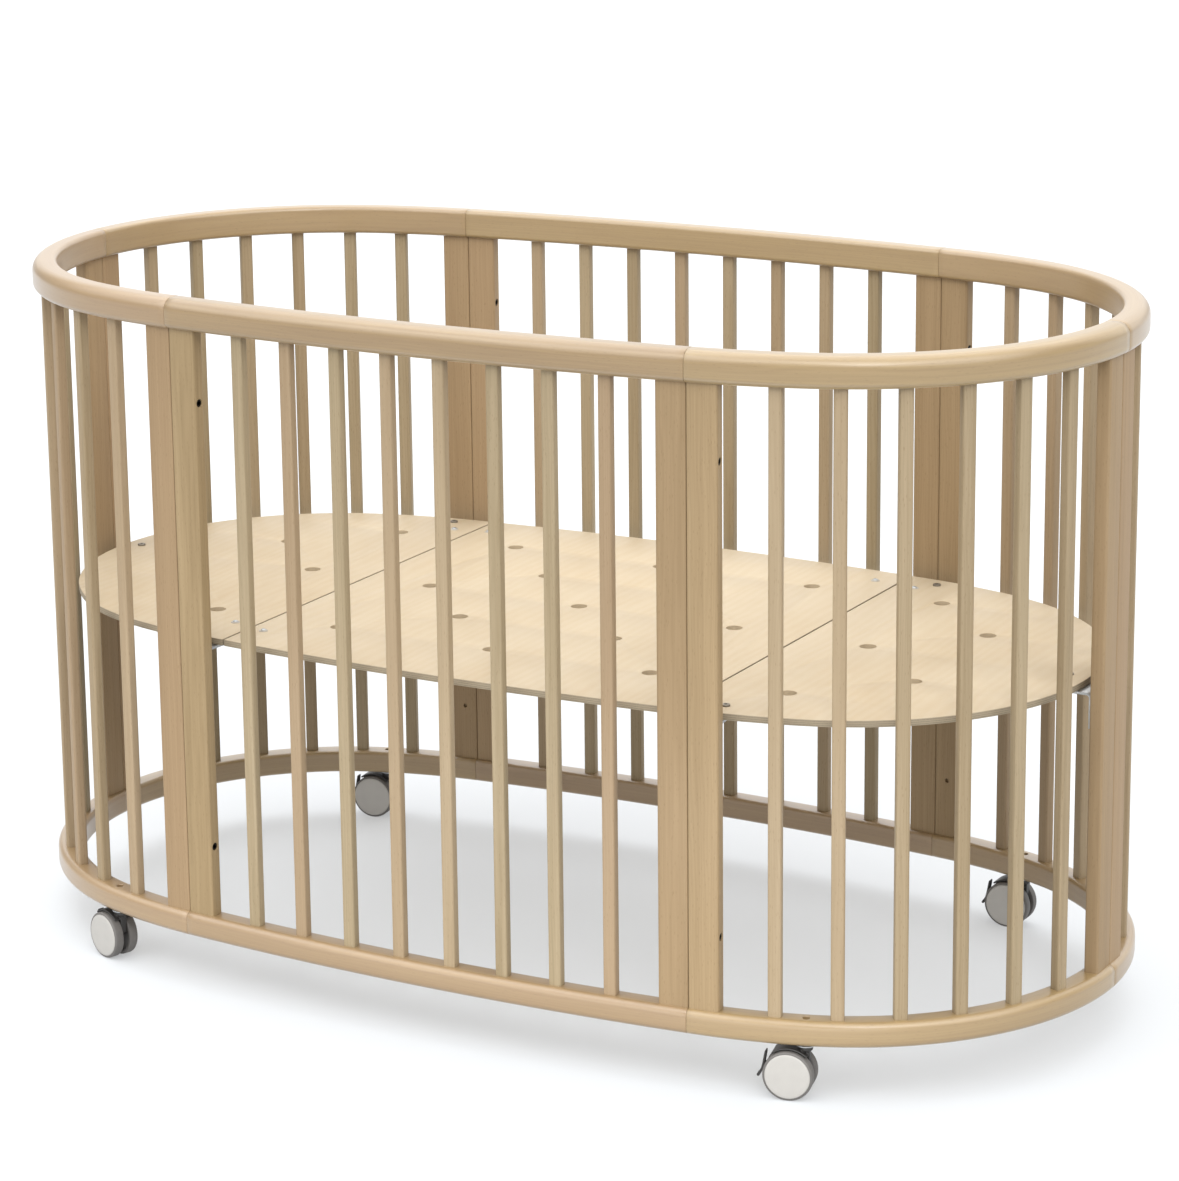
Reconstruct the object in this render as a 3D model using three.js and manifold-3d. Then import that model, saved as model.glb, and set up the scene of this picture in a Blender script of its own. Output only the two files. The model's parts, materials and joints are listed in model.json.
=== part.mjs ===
// Oval baby crib in beech: six glued-up rail sections, a plywood mattress base and four twin-wheel casters.
// Millimetres, +Z up, origin on the floor at the middle. +X is the long way, -Y is the front.
import * as THREE from 'three';
import { mergeVertices } from 'three/addons/utils/BufferGeometryUtils.js';
import Module from 'manifold-3d';

const wasm = await Module();
wasm.setup();

// Plan of the rails: each quarter of the centre line is three tangent arcs.
const SIDE_RADIUS = 3408;
const SIDE_HALF_LENGTH = 340.4;
const SHOULDER_RADIUS = 640;
const SHOULDER_LENGTH = 130.5;
const END_RADIUS = 329.5;

// Heights above the floor.
const LOWER_RAIL_BOTTOM = 65;
const LOWER_RAIL_TOP = 95;
const TOP_RAIL_BOTTOM = 815.5;
const TOP_RAIL_TOP = 851.5;
const BASE_TOP = 435.5;

// Sections of timber and board.
const RAIL_WIDTH = 31;
const RAIL_OUTER_ROUND = 9;
const RAIL_INNER_ROUND = 6;
const SLAT_WIDTH = 15.6;
const SLAT_DEPTH = 12.5;
const SLAT_ROUND = 2.5;
const SIDE_SLATS = 8;
const QUARTER_SLATS = 6;
const POST_WIDTH = 36.5;
const POST_DEPTH = 17.2;
const POST_ROUND = 3;
const TENON = 4;

// Connecting-bolt holes in the posts, and the spare hole for a lower base position.
const BOLT_HOLE_RADIUS = 4.8;
const BOLT_HOLE_DEPTH = 12;
const BOLT_FROM_RAIL = 87;
const SPARE_HOLE_RADIUS = 2.6;
const SPARE_HOLE_DEPTH = 8;
const SPARE_HOLE_HEIGHT = 169;
const SPARE_HOLE_FROM_JOINT = 17;

// Mattress base: three plywood panels with vent holes on a staggered grid.
const BASE_THICKNESS = 8;
const BASE_INSET = 24.5;
const BASE_SEAMS = { left: -299, right: 309.5 };
const VENT_RADIUS = 10;
const VENT_PITCH = 106.5;
const VENT_SHIFT = { x: 7, y: 4 };
const END_PANEL_COLUMN = 389;
const BASE_STEP = 40;

// Steel brackets that carry the base from the posts.
const BRACKET_STEEL = 3;
const BRACKET_HALF_WIDTH = 30;
const BRACKET_DROP = 42;
const CORNER_BRACKET_REACH = 88;
const CORNER_BRACKET_SPLICE = 72;
const CORNER_SPLICE_SETBACK = 36;
const END_BRACKET_REACH = 62;

// Casters, measured from the swivel axis; the wheels trail behind it.
const WHEEL_RADIUS = 29;
const WHEEL_INNER_FACE = 4.8;
const WHEEL_OUTER_FACE = 17.3;
const WHEEL_ROUND = 2;
const WHEEL_SIDES = 20;
const CASTER_TRAIL = 18;
const AXLE_RADIUS = 3;
const AXLE_HALF_LENGTH = 14;
const WEB_HALF_THICKNESS = 4;
const HOOD_HALF_WIDTH = 12;
const HOOD_INNER_RADIUS = 29.9;
const HOOD_OUTER_RADIUS = 32;
const HOOD_FRONT = 48;
const HOOD_BACK = 127;
const STEM_RADIUS = 4;
const STEM_BOTTOM = 57;
const STEM_TOP = 86.5;
const FLANGE_RADIUS = 11;
const FLANGE_THICKNESS = 1.8;
const BOSS_RADIUS = 8;
const BOSS_BOTTOM = 56.3;
const ARM_HALF_THICKNESS = 1.4;
const ARM_TIP_RADIUS = 2.6;
const LEVER_PIVOT = { angle: 165, radius: 26.7 };
const LEVER_HALF_WIDTH = 4;
const CHEEK_INNER_FACE = 1.7;
const CHEEK_OUTER_FACE = 3.7;
const PIN_RADIUS = 1.2;
const CASTERS = [
  { name: 'front_left', sideX: -1, sideY: -1, turn: -20 },
  { name: 'front_right', sideX: 1, sideY: -1, turn: 13.5 },
  { name: 'back_left', sideX: -1, sideY: 1, turn: 7 },
  { name: 'back_right', sideX: 1, sideY: 1, turn: 0 },
];

const GAP = 0.3;
const END_STEP = 45;
const SIDE_STEP = 120;
const ACROSS = new THREE.Vector3(0, 1, 0);
const UP = new THREE.Vector3(0, 0, 1);
const radians = THREE.MathUtils.degToRad;

const sideTurn = SIDE_HALF_LENGTH / SIDE_RADIUS;
const shoulderTurn = SHOULDER_LENGTH / SHOULDER_RADIUS;
const endTurn = Math.PI / 2 - sideTurn - shoulderTurn;
const quarterLength = SIDE_HALF_LENGTH + SHOULDER_LENGTH + END_RADIUS * endTurn;

function finish(color, roughness, metalness = 0) {
  return new THREE.MeshStandardMaterial({ color, roughness, metalness });
}

const beechRail = () => finish(0xcfb083, 0.5);
const beechSlat = () => finish(0xc8ab80, 0.52);
const plywood = () => finish(0xecd9ba, 0.6);
const zincSteel = () => finish(0x8d9094, 0.35, 0.9);
const darkPlastic = () => finish(0x2f2d2b, 0.55);
const paleNylon = () => finish(0xd9d9d3, 0.5);

const crib = new THREE.Group();

function addPiece(name, geometry, material) {
  const mesh = new THREE.Mesh(geometry, material);
  mesh.name = name;
  crib.add(mesh);
  return mesh;
}

// Plan curve.

// Point and heading of the quarter curve, `s` along it from the front middle to the right-hand end.
function quarterPoint(s) {
  const arcs = [
    { radius: SIDE_RADIUS, turn: sideTurn },
    { radius: SHOULDER_RADIUS, turn: shoulderTurn },
    { radius: END_RADIUS, turn: endTurn + 1 },
  ];
  let x = 0;
  let rise = 0;
  let heading = 0;
  let left = s;
  for (const { radius, turn } of arcs) {
    const step = Math.min(left / radius, turn);
    x += radius * (Math.sin(heading + step) - Math.sin(heading));
    rise += radius * (Math.cos(heading) - Math.cos(heading + step));
    heading += step;
    left -= step * radius;
    if (left <= 1e-9) break;
  }
  return { x, rise, heading };
}

const halfWidth = quarterPoint(quarterLength).rise;

// Point of the closed centre line, moved `offset` outwards. `s` runs from the front middle towards +X.
function planPoint(s, offset = 0) {
  const wrapped = THREE.MathUtils.euclideanModulo(s, 4 * quarterLength);
  const left = wrapped > 2 * quarterLength;
  const fromFront = left ? 4 * quarterLength - wrapped : wrapped;
  const back = fromFront > quarterLength;
  const { x, rise, heading } = quarterPoint(back ? 2 * quarterLength - fromFront : fromFront);
  const flipX = left ? -1 : 1;
  const flipY = back ? -1 : 1;
  const out = new THREE.Vector2(flipX * Math.sin(heading), -flipY * Math.cos(heading));
  const place = new THREE.Vector2(flipX * x, flipY * (rise - halfWidth));
  place.addScaledVector(out, offset);
  return { place, out, angle: Math.atan2(out.y, out.x) + Math.PI / 2 };
}

// Evenly spaced places from one end of a stretch to the other, at most `step` apart.
function along(from, to, step) {
  const count = Math.ceil((to - from) / step);
  return Array.from({ length: count + 1 }, (_, i) => from + ((to - from) * i) / count);
}

// The six joints, in order round the crib. `before` and `after` name a joint's two posts. `quarterSide` is 1
// where a quarter follows a side, -1 where it comes before one, and 0 between two quarters.
const backMiddle = 2 * quarterLength;
const JOINTS = [
  { name: 'front_right', s: SIDE_HALF_LENGTH, before: 'side', after: 'quarter', quarterSide: 1 },
  { name: 'right_end', s: quarterLength, before: 'front', after: 'back', quarterSide: 0 },
  { name: 'back_right', s: backMiddle - SIDE_HALF_LENGTH, before: 'quarter', after: 'side', quarterSide: -1 },
  { name: 'back_left', s: backMiddle + SIDE_HALF_LENGTH, before: 'side', after: 'quarter', quarterSide: 1 },
  { name: 'left_end', s: backMiddle + quarterLength, before: 'back', after: 'front', quarterSide: 0 },
  { name: 'front_left', s: -SIDE_HALF_LENGTH, before: 'quarter', after: 'side', quarterSide: -1 },
];

// The sections between the joints.
const SECTIONS = [
  { name: 'front_side', from: -SIDE_HALF_LENGTH, to: SIDE_HALF_LENGTH, side: true },
  { name: 'front_right', from: JOINTS[0].s, to: JOINTS[1].s, side: false },
  { name: 'back_right', from: JOINTS[1].s, to: JOINTS[2].s, side: false },
  { name: 'back_side', from: JOINTS[2].s, to: JOINTS[3].s, side: true },
  { name: 'back_left', from: JOINTS[3].s, to: JOINTS[4].s, side: false },
  { name: 'front_left', from: -quarterLength, to: JOINTS[5].s, side: false },
];

// Solids.

function toSolid(geometry) {
  const bare = geometry.clone();
  bare.deleteAttribute('normal');
  bare.deleteAttribute('uv');
  const merged = mergeVertices(bare, 1e-4);
  const vertProperties = new Float32Array(merged.attributes.position.array);
  const triVerts = new Uint32Array(merged.index.array);
  return new wasm.Manifold(new wasm.Mesh({ numProp: 3, vertProperties, triVerts }));
}

function toGeometry(solid) {
  const { vertProperties, triVerts } = solid.getMesh();
  const geometry = new THREE.BufferGeometry();
  geometry.setAttribute('position', new THREE.BufferAttribute(vertProperties, 3));
  geometry.setIndex(new THREE.BufferAttribute(triVerts, 1));
  geometry.computeVertexNormals();
  return geometry;
}

// Closed loft through rings of points. Each ring runs clockwise seen from the ring after it.
function loft(rings) {
  const count = rings[0].length;
  const positions = rings.flat().flatMap((p) => [p.x, p.y, p.z]);
  const index = [];
  for (let i = 0; i + 1 < rings.length; i += 1) {
    for (let j = 0; j < count; j += 1) {
      const a = i * count + j;
      const b = i * count + ((j + 1) % count);
      index.push(a, b + count, b, a, a + count, b + count);
    }
  }
  const last = (rings.length - 1) * count;
  for (let j = 1; j + 1 < count; j += 1) {
    index.push(0, j, j + 1, last, last + j + 1, last + j);
  }
  const geometry = new THREE.BufferGeometry();
  geometry.setAttribute('position', new THREE.Float32BufferAttribute(positions, 3));
  geometry.setIndex(index);
  geometry.computeVertexNormals();
  return geometry;
}

function roundedShape(width, depth, round) {
  const w = width / 2;
  const d = depth / 2;
  const shape = new THREE.Shape();
  shape.absarc(w - round, d - round, round, 0, Math.PI / 2);
  shape.absarc(-w + round, d - round, round, Math.PI / 2, Math.PI);
  shape.absarc(-w + round, -d + round, round, Math.PI, 1.5 * Math.PI);
  shape.absarc(w - round, -d + round, round, 1.5 * Math.PI, 2 * Math.PI);
  return shape;
}

// Upright bar standing at `place`, its width along the rail.
function upright(shape, bottom, top, place, angle, curveSegments) {
  const bar = new THREE.ExtrudeGeometry(shape, { depth: top - bottom, bevelEnabled: false, curveSegments });
  bar.rotateZ(angle);
  bar.translate(place.x, place.y, bottom);
  return bar;
}

// Cylinder from `start`, running `length` along `direction`.
function rod(start, direction, length, radius, sides = 10) {
  const cylinder = new THREE.CylinderGeometry(radius, radius, length, sides);
  cylinder.applyQuaternion(new THREE.Quaternion().setFromUnitVectors(ACROSS, direction));
  const middle = start.clone().addScaledVector(direction, length / 2);
  cylinder.translate(middle.x, middle.y, middle.z);
  return cylinder;
}

// Solid of revolution about the Z axis, from [radius, height] points.
function lathe(points, sides) {
  const profile = points.map(([r, z]) => new THREE.Vector2(r, z));
  return new THREE.LatheGeometry(profile, sides).rotateX(Math.PI / 2);
}

// Rails, slats and posts.

// Rail section as [outward offset, height] points.
function railSection(bottom, top) {
  const half = RAIL_WIDTH / 2;
  const corners = [
    { x: half, z: bottom, round: RAIL_OUTER_ROUND, start: -90 },
    { x: half, z: top, round: RAIL_OUTER_ROUND, start: 0 },
    { x: -half, z: top, round: RAIL_INNER_ROUND, start: 90 },
    { x: -half, z: bottom, round: RAIL_INNER_ROUND, start: 180 },
  ];
  const steps = [0, 45, 90];
  return corners.flatMap(({ x, z, round, start }) => steps.map((step) => {
    const angle = radians(start + step);
    const offset = x - Math.sign(x) * round + round * Math.cos(angle);
    const middle = (bottom + top) / 2;
    return [offset, z - Math.sign(z - middle) * round + round * Math.sin(angle)];
  }));
}

function rail({ from, to, side }, bottom, top) {
  const outline = railSection(bottom, top);
  const stations = along(from + GAP / 2, to - GAP / 2, side ? SIDE_STEP : END_STEP);
  return loft(stations.map((s) => outline.map(([offset, z]) => {
    const { place } = planPoint(s, offset);
    return new THREE.Vector3(place.x, place.y, z);
  })));
}

// Places along a section of the middles of its slats, with equal gaps between the two posts.
function slatPlaces({ from, to, side }) {
  const slats = side ? SIDE_SLATS : QUARTER_SLATS;
  const gap = (to - from - 2 * POST_WIDTH - slats * SLAT_WIDTH) / (slats + 1);
  const first = from + POST_WIDTH + gap + SLAT_WIDTH / 2;
  return Array.from({ length: slats }, (_, i) => first + (gap + SLAT_WIDTH) * i);
}

// The caster stem stands in the lower rail between a quarter's first two slats next to the side.
function casterPlace(sideX, sideY) {
  const [first, second] = slatPlaces(SECTIONS[1]);
  const { place } = planPoint((first + second) / 2);
  return new THREE.Vector3(sideX * Math.abs(place.x), sideY * Math.abs(place.y), 0);
}

// Lower rail with its slats tenoned into it, bored for a caster stem in a quarter.
function lowerComb(section) {
  const slatShape = roundedShape(SLAT_WIDTH, SLAT_DEPTH, SLAT_ROUND);
  const solids = [toSolid(rail(section, LOWER_RAIL_BOTTOM, LOWER_RAIL_TOP))];
  for (const s of slatPlaces(section)) {
    const { place, angle } = planPoint(s);
    solids.push(toSolid(upright(slatShape, LOWER_RAIL_TOP - TENON, TOP_RAIL_BOTTOM - GAP, place, angle, 1)));
  }
  const comb = solids.reduce((sum, solid) => sum.add(solid));
  const caster = CASTERS.find(({ name }) => name === section.name);
  if (!caster) return toGeometry(comb);
  const start = casterPlace(caster.sideX, caster.sideY).setZ(LOWER_RAIL_BOTTOM - 1);
  const boreLength = LOWER_RAIL_TOP - LOWER_RAIL_BOTTOM + 2;
  return toGeometry(comb.subtract(toSolid(rod(start, UP, boreLength, STEM_RADIUS + GAP))));
}

// One wide post beside a joint: `side` is 1 for the post after the joint and -1 for the one before it.
function post(joint, side) {
  const { place, out, angle } = planPoint(joint.s);
  const tangent = new THREE.Vector2(-out.y, out.x);
  const middle = place.clone().addScaledVector(tangent, (side * (POST_WIDTH + GAP)) / 2);
  const shape = roundedShape(POST_WIDTH, POST_DEPTH, POST_ROUND);
  let solid = toSolid(upright(shape, LOWER_RAIL_TOP + GAP, TOP_RAIL_BOTTOM - GAP, middle, angle, 2));
  const farFace = place.clone().addScaledVector(tangent, side * (POST_WIDTH + GAP / 2 + 1));
  const inwards = new THREE.Vector3(tangent.x, tangent.y, 0).multiplyScalar(-side);
  const boltHeights = [LOWER_RAIL_TOP + BOLT_FROM_RAIL, TOP_RAIL_BOTTOM - BOLT_FROM_RAIL];
  for (const z of joint.quarterSide ? boltHeights : []) {
    const start = new THREE.Vector3(farFace.x, farFace.y, z);
    solid = solid.subtract(toSolid(rod(start, inwards, BOLT_HOLE_DEPTH + 1, BOLT_HOLE_RADIUS)));
  }
  if (joint.quarterSide === side) {
    const spare = place.clone().addScaledVector(tangent, side * SPARE_HOLE_FROM_JOINT);
    spare.addScaledVector(out, -POST_DEPTH / 2 - 1);
    const start = new THREE.Vector3(spare.x, spare.y, SPARE_HOLE_HEIGHT);
    const outwards = new THREE.Vector3(out.x, out.y, 0);
    solid = solid.subtract(toSolid(rod(start, outwards, SPARE_HOLE_DEPTH + 1, SPARE_HOLE_RADIUS, 8)));
  }
  return toGeometry(solid);
}

for (const section of SECTIONS) {
  addPiece(`top_rail_${section.name}`, rail(section, TOP_RAIL_BOTTOM, TOP_RAIL_TOP), beechRail());
  addPiece(`lower_rail_and_slats_${section.name}`, lowerComb(section), beechSlat());
}
for (const joint of JOINTS) {
  addPiece(`post_${joint.name}_${joint.before}`, post(joint, -1), beechSlat());
  addPiece(`post_${joint.name}_${joint.after}`, post(joint, 1), beechSlat());
}

// Mattress base.

// Place along the plan curve where the base's edge, on a side, is `x` from the middle.
function baseEdgeAt(x) {
  return SIDE_RADIUS * Math.asin(x / (SIDE_RADIUS - BASE_INSET));
}

// Panel whose edge follows the plan curve along each [from, to] stretch, with straight cuts between them.
// Each column of vent holes has an x and rows counted in pitches from the middle line.
function basePanel(stretches, columns) {
  const edge = stretches.flatMap(([from, to]) => along(from, to, BASE_STEP));
  const shape = new THREE.Shape(edge.map((s) => planPoint(s, -BASE_INSET).place));
  for (const { x, rows } of columns) {
    for (const row of rows) {
      const vent = new THREE.Path();
      vent.absarc(x + VENT_SHIFT.x, row * VENT_PITCH + VENT_SHIFT.y, VENT_RADIUS, 0, 2 * Math.PI);
      shape.holes.push(vent);
    }
  }
  const options = { depth: BASE_THICKNESS, bevelEnabled: false, curveSegments: 5 };
  return new THREE.ExtrudeGeometry(shape, options).translate(0, 0, BASE_TOP - BASE_THICKNESS);
}

const WIDE_ROWS = [-2, 0, 2];
const NARROW_ROWS = [-1, 1];
const middleColumns = [-2, -1, 0, 1, 2].map((step) => (
  { x: step * VENT_PITCH, rows: step % 2 ? NARROW_ROWS : WIDE_ROWS }));
const endColumns = (side) => [
  { x: side * END_PANEL_COLUMN, rows: WIDE_ROWS },
  { x: side * (END_PANEL_COLUMN + VENT_PITCH), rows: NARROW_ROWS },
];

const middleLeft = baseEdgeAt(BASE_SEAMS.left + GAP / 2);
const middleRight = baseEdgeAt(BASE_SEAMS.right - GAP / 2);
const leftStart = baseEdgeAt(BASE_SEAMS.left - GAP / 2);
const rightStart = baseEdgeAt(BASE_SEAMS.right + GAP / 2);
const frontStretch = [middleLeft, middleRight];
const rightStretch = [rightStart, backMiddle - rightStart];
const backStretch = [backMiddle - middleRight, backMiddle - middleLeft];
const leftStretch = [backMiddle - leftStart, 2 * backMiddle + leftStart];
addPiece('base_panel_middle', basePanel([frontStretch, backStretch], middleColumns), plywood());
addPiece('base_panel_right', basePanel([rightStretch], endColumns(1)), plywood());
addPiece('base_panel_left', basePanel([leftStretch], endColumns(-1)), plywood());

// Angle bracket on the inner faces of a pair of posts. At a corner a wing also runs under the middle panel.
function bracket(joint) {
  const { place, angle } = planPoint(joint.s);
  const plateTop = BASE_TOP - BASE_THICKNESS - GAP;
  const postFace = POST_DEPTH / 2 + GAP;
  const flange = new THREE.BoxGeometry(2 * BRACKET_HALF_WIDTH, BRACKET_STEEL, BRACKET_DROP);
  flange.translate(0, postFace + BRACKET_STEEL / 2, plateTop - BRACKET_DROP / 2);
  const plate = (fromX, toX, fromY, toY) => {
    const box = new THREE.BoxGeometry(toX - fromX, toY - fromY, BRACKET_STEEL);
    box.translate((fromX + toX) / 2, postFace + (fromY + toY) / 2, plateTop - BRACKET_STEEL / 2);
    return toSolid(box);
  };
  const reach = joint.quarterSide ? CORNER_BRACKET_REACH : END_BRACKET_REACH;
  let solid = toSolid(flange).add(plate(-BRACKET_HALF_WIDTH, BRACKET_HALF_WIDTH, 0, reach));
  if (joint.quarterSide) {
    const wing = [0, -joint.quarterSide * CORNER_BRACKET_SPLICE].sort((a, b) => a - b);
    solid = solid.add(plate(...wing, CORNER_SPLICE_SETBACK, reach));
  }
  return toGeometry(solid).rotateZ(angle).translate(place.x, place.y, 0);
}

for (const joint of JOINTS) {
  addPiece(`base_bracket_${joint.name}`, bracket(joint), zincSteel());
}

// Casters. Each is drawn with its swivel axis on Z and its wheels trailing towards -X.

// Wheel of a pair, on the +Y side of the caster, with a blind bore for the axle. It stands on a flat.
function wheel() {
  const rim = WHEEL_RADIUS / Math.cos(Math.PI / WHEEL_SIDES);
  const bore = AXLE_RADIUS + GAP;
  const boreEnd = AXLE_HALF_LENGTH + GAP;
  const profile = [
    [bore, WHEEL_INNER_FACE], [rim, WHEEL_INNER_FACE], [rim, WHEEL_OUTER_FACE - WHEEL_ROUND],
    [rim - WHEEL_ROUND, WHEEL_OUTER_FACE], [0, WHEEL_OUTER_FACE], [0, boreEnd], [bore, boreEnd],
    [bore, WHEEL_INNER_FACE],
  ];
  const points = profile.map(([r, y]) => new THREE.Vector2(r, y));
  return new THREE.LatheGeometry(points, WHEEL_SIDES, Math.PI / WHEEL_SIDES);
}

// Point of the caster's upright plane, by angle and radius about the wheels' centre.
function aroundAxle(angle, radius) {
  return new THREE.Vector2(radius * Math.cos(radians(angle)), radius * Math.sin(radians(angle)));
}

// Solid with the given outline in the caster's upright plane, between two distances from its middle plane.
function castAcross(outline, fromY, toY) {
  const shape = new THREE.Shape(outline);
  const solid = new THREE.ExtrudeGeometry(shape, { depth: toY - fromY, bevelEnabled: false });
  return solid.rotateX(Math.PI / 2).translate(-CASTER_TRAIL, toY, WHEEL_RADIUS);
}

// Outline of the band between two radii, from one angle to another in steps of at most `step`.
function band(innerRadius, outerRadius, fromAngle, toAngle, step) {
  const angles = along(fromAngle, toAngle, step);
  const outer = angles.map((angle) => aroundAxle(angle, outerRadius));
  const inner = angles.map((angle) => aroundAxle(angle, innerRadius)).reverse();
  return [...outer, ...inner];
}

// Bar across the caster at a point of its upright plane.
function crossBar(point, halfLength, radius) {
  const start = new THREE.Vector3(point.x - CASTER_TRAIL, -halfLength, point.y + WHEEL_RADIUS);
  return rod(start, ACROSS, 2 * halfLength, radius);
}

const axleCentre = aroundAxle(0, 0);
const leverPivot = aroundAxle(LEVER_PIVOT.angle, LEVER_PIVOT.radius);

// Web between the wheels, hood over them, arm for the brake lever, and the boss that turns on the stem.
function housing() {
  const hub = AXLE_RADIUS + 6;
  const webRadius = (HOOD_INNER_RADIUS + HOOD_OUTER_RADIUS) / 2;
  const neck = new THREE.Vector2(CASTER_TRAIL + BOSS_RADIUS - 3, BOSS_BOTTOM + 3 - WHEEL_RADIUS);
  const web = [
    aroundAxle(200, hub), aroundAxle(270, hub), aroundAxle(340, hub), aroundAxle(15, 24), neck,
    aroundAxle(60, webRadius), aroundAxle(90, webRadius), aroundAxle(HOOD_BACK, webRadius),
    aroundAxle(150, 2.6 * hub), aroundAxle(175, 2.1 * hub),
  ];
  const arm = band(2 * hub, LEVER_PIVOT.radius, LEVER_PIVOT.angle - 4.5, LEVER_PIVOT.angle + 4.5, 9);
  const bossTop = LOWER_RAIL_BOTTOM - FLANGE_THICKNESS - 2 * GAP;
  const boss = [
    [0, BOSS_BOTTOM], [BOSS_RADIUS - 2, BOSS_BOTTOM], [BOSS_RADIUS, BOSS_BOTTOM + 2],
    [BOSS_RADIUS, bossTop], [0, bossTop],
  ];
  const hood = band(HOOD_INNER_RADIUS, HOOD_OUTER_RADIUS, HOOD_FRONT, HOOD_BACK, 12);
  const added = [
    castAcross(hood, -HOOD_HALF_WIDTH, HOOD_HALF_WIDTH),
    castAcross(arm, -ARM_HALF_THICKNESS, ARM_HALF_THICKNESS),
    crossBar(leverPivot, ARM_HALF_THICKNESS, ARM_TIP_RADIUS),
    lathe(boss, 14),
  ];
  const stemBottom = new THREE.Vector3(0, 0, STEM_BOTTOM - GAP);
  const cut = [
    rod(stemBottom, UP, STEM_TOP - STEM_BOTTOM, STEM_RADIUS + GAP),
    crossBar(axleCentre, 2 * WEB_HALF_THICKNESS, AXLE_RADIUS + GAP),
    crossBar(leverPivot, 2 * ARM_HALF_THICKNESS, PIN_RADIUS + GAP),
  ];
  let solid = toSolid(castAcross(web, -WEB_HALF_THICKNESS, WEB_HALF_THICKNESS));
  for (const geometry of added) solid = solid.add(toSolid(geometry));
  for (const geometry of cut) solid = solid.subtract(toSolid(geometry));
  return toGeometry(solid);
}

// Brake lever: an upright pedal behind the wheels that ends in a toe, with two cheeks and a pin at its pivot.
// Its outlines are in millimetres from the wheels' centre.
const PEDAL = [
  [-28.7, 23.4], [-30.5, 13.2], [-31.8, 6.3], [-33.7, 0.5], [-36.8, -3.8], [-38, -5.6],
  [-36.6, -7.6], [-34.2, -6.2], [-31.5, -0.6], [-29.5, 5.8], [-28.1, 12.8], [-26.4, 23],
];
const CHEEK = [[-30.3, 4.3], [-24.4, 4.3], [-23.2, 5.6], [-23.2, 8.2], [-24.4, 9.5], [-30, 9.5]];
const toPoints = (outline) => outline.map(([x, z]) => new THREE.Vector2(x, z));

function brakeLever() {
  const pin = crossBar(leverPivot, CHEEK_OUTER_FACE - GAP, PIN_RADIUS);
  return toGeometry(toSolid(castAcross(toPoints(PEDAL), -LEVER_HALF_WIDTH, LEVER_HALF_WIDTH))
    .add(toSolid(castAcross(toPoints(CHEEK), CHEEK_INNER_FACE, CHEEK_OUTER_FACE)))
    .add(toSolid(castAcross(toPoints(CHEEK), -CHEEK_OUTER_FACE, -CHEEK_INNER_FACE)))
    .add(toSolid(pin)));
}

// Steel stem standing in the lower rail, with a flange under the rail.
function stem() {
  const flangeTop = LOWER_RAIL_BOTTOM - GAP;
  const flangeBottom = flangeTop - FLANGE_THICKNESS;
  return lathe([
    [0, STEM_BOTTOM], [STEM_RADIUS, STEM_BOTTOM], [STEM_RADIUS, flangeBottom], [FLANGE_RADIUS, flangeBottom],
    [FLANGE_RADIUS, flangeTop], [STEM_RADIUS, flangeTop], [STEM_RADIUS, STEM_TOP - 1],
    [STEM_RADIUS - 1, STEM_TOP], [0, STEM_TOP],
  ], 12);
}

for (const { name, sideX, sideY, turn } of CASTERS) {
  const place = casterPlace(sideX, sideY);
  const set = (geometry) => geometry.rotateZ(radians(turn)).translate(place.x, place.y, 0);
  const setWheel = (geometry) => set(geometry.translate(-CASTER_TRAIL, 0, WHEEL_RADIUS));
  addPiece(`caster_${name}_stem`, set(stem()), zincSteel());
  addPiece(`caster_${name}_housing`, set(housing()), darkPlastic());
  addPiece(`caster_${name}_axle`, set(crossBar(axleCentre, AXLE_HALF_LENGTH, AXLE_RADIUS)), zincSteel());
  addPiece(`caster_${name}_wheel_front`, setWheel(wheel().rotateX(Math.PI)), paleNylon());
  addPiece(`caster_${name}_wheel_back`, setWheel(wheel()), paleNylon());
  addPiece(`caster_${name}_brake_lever`, set(brakeLever()), darkPlastic());
}

export default crib;
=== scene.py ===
# Oval beech baby crib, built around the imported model: curved rails, slats, paired posts, a vented plywood
# base on steel brackets, and four twin-wheel casters with brake levers. Metres, in the frame's own axes.
import json
import math
import random

import bmesh
import bpy
from mathutils import Matrix, Vector


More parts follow.
